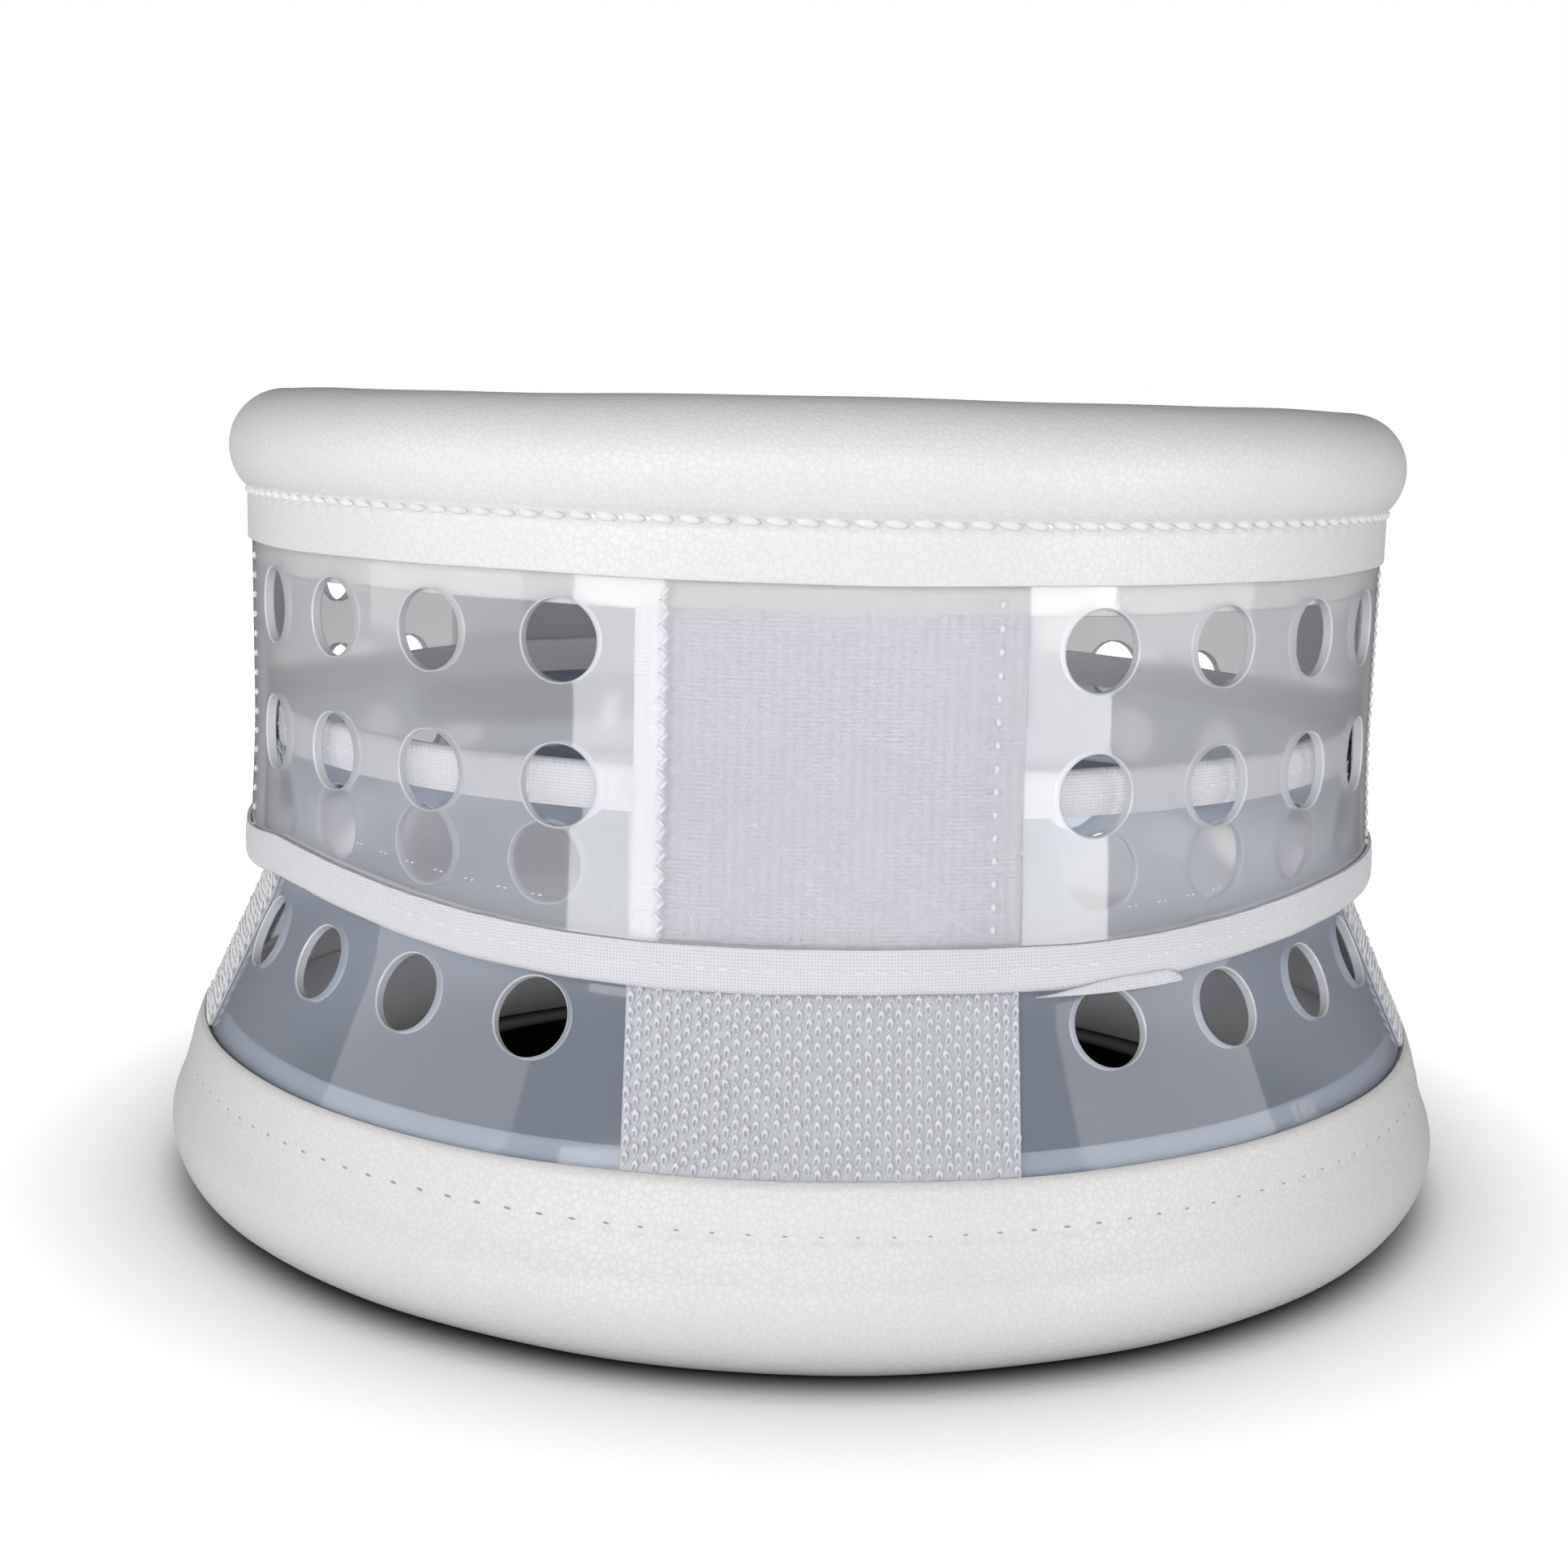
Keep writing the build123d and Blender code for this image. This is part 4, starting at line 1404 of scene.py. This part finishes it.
# === rear straps ============================================================================
@dataclass(frozen=True)
class RearStrap:
    """A strap sewn behind the right side, closed on the left by hook and loop, with a pull tab."""

    level: str
    wall: Wall
    body: str
    parent: str
    seed: int

    def rise(self, flat: Array) -> Array:
        """Lays the sewn end flat on the sheet and lifts the rest to the strap's own depth."""
        flat = flat.copy()
        start = SEWN_END - STRAP_BASE_LENGTH
        share = (flat[:, 0] - start - 7 * MM) / (9 * MM)
        flat[:, 2] += (ease(share) - 1) * (STRAP_DEPTH - 2 * LAP_GAP)
        return flat

    def build(self, wardrobe: Wardrobe) -> None:
        """Makes the webbing, hook pad, pull tab, landing tape and their seams.

        Args:
            wardrobe: The materials.
        """
        low, high = (corner.z for corner in self.flat_heights())
        start = SEWN_END - STRAP_BASE_LENGTH
        depths = (STRAP_DEPTH, STRAP_DEPTH + STRAP_THICKNESS)
        webbing = panel(f"{self.level}_strap_webbing", (start, STRAP_END), (low, high), depths, MM, 0.22 * MM)
        bend_on(webbing, self.wall, self.rise)
        smooth(webbing, 60)
        wardrobe.dress(webbing, Slot.WEBBING, None, f"{self.level}_strap_base", f"{self.level}_strap")
        hinge_low = Vector(self.wall.place(SEWN_END / UPPER_RADIUS - 0.012, (low + high) / 2, STRAP_DEPTH))
        hinge_high = Vector(self.wall.place(SEWN_END / UPPER_RADIUS + 0.018, (low + high) / 2, STRAP_DEPTH))
        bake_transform(webbing)
        self.hook_pad(wardrobe, (low, high))
        self.pull_tab(wardrobe, (low, high))
        span = (LANDING_START - FULL_TURN, LANDING_END - FULL_TURN)
        name, node = f"{self.level}_landing_tape", f"{self.level}_landing_loop"
        LoopTape(name, self.parent, node, self.wall, span, (low, high)).build(wardrobe, self.seed)
        self.box_seam(wardrobe, (low, high))

    def flat_heights(self) -> tuple[Vector, Vector]:
        """Heights of the strap's edges on the wall, as two corners."""
        if self.level == "upper":
            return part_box("upper_strap")
        return tuple(Vector((0, 0, edge)) for edge in LOWER_STRAP_HEIGHTS)

    def hook_pad(self, wardrobe: Wardrobe, heights: Span) -> None:
        """The hook pad under the strap's free end."""
        span = (STRAP_END - STRAP_HOOK_LENGTH, STRAP_END)
        depths = (STRAP_HOOK_DEPTH, STRAP_HOOK_DEPTH + TAPE_THICKNESS)
        piece = panel(f"{self.level}_strap_hook_pad", span, heights, depths, 1.2 * MM, 0.1 * MM)
        bend_on(piece, self.wall)
        smooth(piece, 50)
        wardrobe.dress(piece, Slot.HOOK, self.body, f"{self.level}_strap_hook")
        inset = 1.6 * MM
        depth = STRAP_DEPTH + STRAP_THICKNESS
        edges = (heights[0] + inset, heights[1] - inset)
        places = seam_box(self.wall, (span[0] + inset, span[1] - MM), edges, depth, 2.2 * MM)
        wardrobe.dress(Stitch().sew(f"{self.level}_strap_hook_seam", places), Slot.THREAD, self.body)

    def pull_tab(self, wardrobe: Wardrobe, heights: Span) -> None:
        """The folded leatherette tab at the strap's free end, with rounded corners."""
        middle = STRAP_DEPTH + STRAP_THICKNESS / 2
        thick = 1.7 * MM
        span = (STRAP_END + 0.08 * MM, STRAP_END + TAB_LENGTH)
        depths = (middle - thick / 2, middle + thick / 2)
        piece = panel(f"{self.level}_pull_tab", span, heights, depths, 0.6 * MM, 0.35 * MM)
        centre, half = sum(heights) / 2, (heights[1] - heights[0]) / 2

        def rounded(flat: Array) -> Array:
            """Narrows the tab towards its end, and swells its middle a little."""
            flat = flat.copy()
            share = np.clip((flat[:, 0] - span[1] + half * 0.55) / (half * 0.55), 0.0, 1.0)
            width = 1 - 0.32 * (1 - np.sqrt(1 - share**2 * 0.98))
            flat[:, 1] = centre + (flat[:, 1] - centre) * width
            along = (flat[:, 0] - span[0]) / TAB_LENGTH
            swell = 0.12 * MM * np.sin(math.pi * np.clip(along, 0, 1))
            flat[:, 2] += np.sign(flat[:, 2] - middle) * swell * (1 - ((flat[:, 1] - centre) / half) ** 2)
            return flat

        bend_on(piece, self.wall, rounded)
        smooth(piece, 60)
        wardrobe.dress(piece, Slot.TAB, self.body, f"{self.level}_strap_tab")
        depth = middle + thick / 2 - 0.02 * MM
        rows = (heights[0] + MM, heights[1] - MM)
        places = seam_up(self.wall, span[0] + 1.6 * MM, rows, depth, 2.4 * MM)
        places += seam_up(self.wall, span[0] + 3.4 * MM, rows, depth, 2.4 * MM)
        wardrobe.dress(Stitch().sew(f"{self.level}_tab_seam", places), Slot.THREAD, self.body)

    def box_seam(self, wardrobe: Wardrobe, heights: Span) -> None:
        """The sewn box that holds the strap's fixed end."""
        inset = 1.6 * MM
        start = SEWN_END - STRAP_BASE_LENGTH
        depth = 2 * LAP_GAP + STRAP_THICKNESS
        span = (start + inset, start + 7 * MM)
        edges = (heights[0] + inset, heights[1] - inset)
        places = seam_box(self.wall, span, edges, depth, 2.0 * MM)
        places += seam_up(self.wall, span[1], edges, depth, 2.0 * MM)
        wardrobe.dress(Stitch().sew(f"{self.level}_strap_box_seam", places), Slot.THREAD, self.parent)


# === studio =================================================================================
class Studio:
    """Pale floor, soft lights, a bright backdrop and the camera."""

    def floor(self) -> None:
        """A wide plain floor, pale and matt, with painted shade: darkened by ambient occlusion near the
        collar and painted nearly black inside it.
        """
        deselect()
        bpy.ops.mesh.primitive_plane_add(size=12.0)
        piece = adopt("studio_floor")
        material = bpy.data.materials.new("studio_floor")
        material.use_nodes = True
        tree = Tree(material.node_tree)
        shader = next(n for n in material.node_tree.nodes if n.type == "BSDF_PRINCIPLED")
        shader.inputs["Roughness"].default_value = 1.0
        shader.inputs["Specular IOR Level"].default_value = 0.0
        # Painted shade: ambient occlusion darkens the floor near the collar, and a ring mask paints it nearly
        # black inside the collar; both set its colour and its glow.
        shade = tree.add("AmbientOcclusion", {"Distance": 0.055}, samples=16)
        place = tree.add("TexCoord").outputs["Object"]
        reach = tree.add("VectorMath", {0: place}, operation="LENGTH").outputs["Value"]
        collar_painted_shade = tree.add("MapRange", {0: reach, 1: 0.06, 2: 0.076, 3: 0.0, 4: 1.0}).outputs[0]
        painted_light_level = tree.maths("MULTIPLY", tree.maths("POWER", shade.outputs["AO"], 1.8), collar_painted_shade)
        dark, pale = (0.004, 0.004, 0.005, 1.0), (0.82, 0.82, 0.81, 1.0)
        tree.feed(shader, "Base Color", tree.blend(painted_light_level, dark, pale))
        shader.inputs["Emission Color"].default_value = (1.0, 1.0, 0.99, 1.0)
        camera = tree.add("LightPath").outputs["Is Camera Ray"]
        level = tree.add("MapRange", {0: camera, 3: 0.5, 4: 1.0}).outputs[0]
        tree.feed(shader, "Emission Strength", tree.maths("MULTIPLY", painted_light_level, level))
        piece.data.materials.append(material)
        piece.visible_glossy = False

    def world(self) -> None:
        """White to the camera, and a dim even fill to everything else."""
        world = bpy.data.worlds.new("studio")
        world.use_nodes = True
        tree = Tree(world.node_tree)
        backdrop = world.node_tree.nodes["Background"]
        camera = tree.add("LightPath").outputs["Is Camera Ray"]
        level = tree.add("MapRange", {0: camera, 3: 0.13, 4: 1.0})
        backdrop.inputs["Color"].default_value = (1.0, 1.0, 1.0, 1.0)
        tree.feed(backdrop, "Strength", level.outputs[0])
        bpy.context.scene.world = world

    def softbox(
        self, name: str, azimuth: float, elevation: float, distance: float, size: Span, power: float,
        only_gloss: bool = False,
    ) -> None:
        """An area light aimed at the collar.

        Args:
            name: The light's name.
            azimuth: Degrees from the front, positive towards +X.
            elevation: Degrees above the floor.
            distance: Metres from the collar.
            size: Width and height.
            power: Watts.
            only_gloss: Whether it shows only in reflections.
        """
        aim = Vector((0.0, 0.0, 0.05))
        a, e = math.radians(azimuth), math.radians(elevation)
        out = Vector((math.sin(a) * math.cos(e), -math.cos(a) * math.cos(e), math.sin(e)))
        lamp = bpy.data.lights.new(name, "AREA")
        lamp.shape = "RECTANGLE"
        lamp.size, lamp.size_y = size
        lamp.energy = power
        holder = bpy.data.objects.new(name, lamp)
        holder.location = aim + out * distance
        holder.rotation_mode = "QUATERNION"
        holder.rotation_quaternion = out.to_track_quat("Z", "Y")
        holder.visible_diffuse = not only_gloss
        holder.visible_camera = False
        bpy.context.scene.collection.objects.link(holder)

    def lights(self) -> None:
        """A low key in front, a fill on each side, and the two strips that show in the gloss."""
        self.softbox("key", -12, 14, 1.1, (1.3, 0.5), 7.4)
        self.softbox("left_fill", -75, 12, 1.0, (0.7, 0.6), 2.1)
        self.softbox("right_fill", 70, 12, 1.0, (0.7, 0.6), 2.6)
        self.softbox("left_strip", -36.7, -9, 0.8, (0.24, 0.5), 2.6, only_gloss=True)
        self.softbox("right_strip", 46.2, -9, 0.8, (0.24, 0.5), 3.0, only_gloss=True)

    def camera(self) -> None:
        """A camera a little above the collar, nearly square to its front."""
        heading, pitch, roll = math.radians(1.06), math.radians(9.587), math.radians(1.3287)
        level = math.cos(pitch)
        ahead = Vector((math.sin(heading) * level, math.cos(heading) * level, -math.sin(pitch)))
        right = Vector((math.cos(heading), -math.sin(heading), 0.0))
        up = right.cross(ahead)
        turned = right * math.cos(roll) + up * math.sin(roll)
        lens = bpy.data.cameras.new("camera")
        lens.lens, lens.sensor_width = 50.59, 36.0
        lens.clip_start, lens.clip_end = 0.02, 50.0
        holder = bpy.data.objects.new("camera", lens)
        matrix = Matrix((turned, (-ahead).cross(turned), -ahead)).transposed().to_4x4()
        matrix.translation = Vector((-0.00797, -0.26698, 0.0896))
        holder.matrix_world = matrix
        bpy.context.scene.collection.objects.link(holder)
        bpy.context.scene.camera = holder

    def build(self) -> None:
        """Sets the studio up."""
        self.floor()
        self.world()
        self.lights()
        self.camera()
        bpy.context.scene.view_settings.view_transform = "Standard"


def main() -> None:
    """Builds the collar sub-assembly by sub-assembly, then the studio."""
    logging.basicConfig(level=logging.INFO, format="%(message)s")
    wardrobe = Wardrobe()
    upper_holes = (UPPER_FRONT_HOLES, UPPER_HOLE_HEIGHTS)
    lower_holes = (LOWER_FRONT_HOLES, LOWER_HOLE_HEIGHTS)
    Band("upper", "upper_band", UPPER_WALL, *upper_holes, UPPER_EDGE_HEIGHT, -1).build(wardrobe)
    Band("lower", "lower_band", LOWER_WALL, *lower_holes, LOWER_EDGE_HEIGHT, 1).build(wardrobe)
    ChinRim(
        name="chin_rim_cover",
        body="upper_band",
        nodes=("upper_rim_cover", "upper_rim_foam"),
        centre=(61.9 * MM, 84.5 * MM),
        radius=6.5 * MM,
        seam=(66.49 * MM, 79.75 * MM),
        seam_pitch=2.7 * MM,
        steps_per_stitch=6,
        crease=0.55 * MM,
        wall=UPPER_WALL,
        stitch=Stitch(2.6 * MM, 0.85 * MM, 0.62 * MM, -0.16),
        stitch_depth=0.42 * MM,
        dent=0.0,
    ).build(wardrobe)
    ShoulderRim(
        name="shoulder_rim_cover",
        body="lower_band",
        nodes=("lower_rim_cover", "lower_rim_foam"),
        centre=(68.7 * MM, 7.17 * MM),
        radius=7.5 * MM,
        seam=(74.35 * MM, 14.6 * MM),
        seam_pitch=3.4 * MM,
        steps_per_stitch=9,
        crease=0.06 * MM,
        wall=LOWER_WALL,
        stitch=Stitch(1.3 * MM, 0.36 * MM, 0.3 * MM, -0.1),
        stitch_depth=0.72 * MM,
        dent=0.22 * MM,
    ).build(wardrobe)
    for place in Place:
        word = place.name.lower()
        HookTape(place, FRONT_HOOK_TOP if place is Place.FRONT else SIDE_HOOK_TOP).build(wardrobe)
        span = (place.value - PATCH_WIDTH / 2, place.value + PATCH_WIDTH / 2)
        name, node = f"{word}_loop_tape", f"{word}_loop_patch"
        tape = LoopTape(name, "lower_band", node, LOWER_WALL, span, LOOP_TAPE_HEIGHTS)
        tape.build(wardrobe, seed=10 + len(word))
    RearStrap("upper", UPPER_WALL, "upper_strap", "upper_band", 31).build(wardrobe)
    RearStrap("lower", LOWER_WALL, "lower_strap", "lower_band", 32).build(wardrobe)
    Studio().build()


if __name__ == "__main__":
    main()
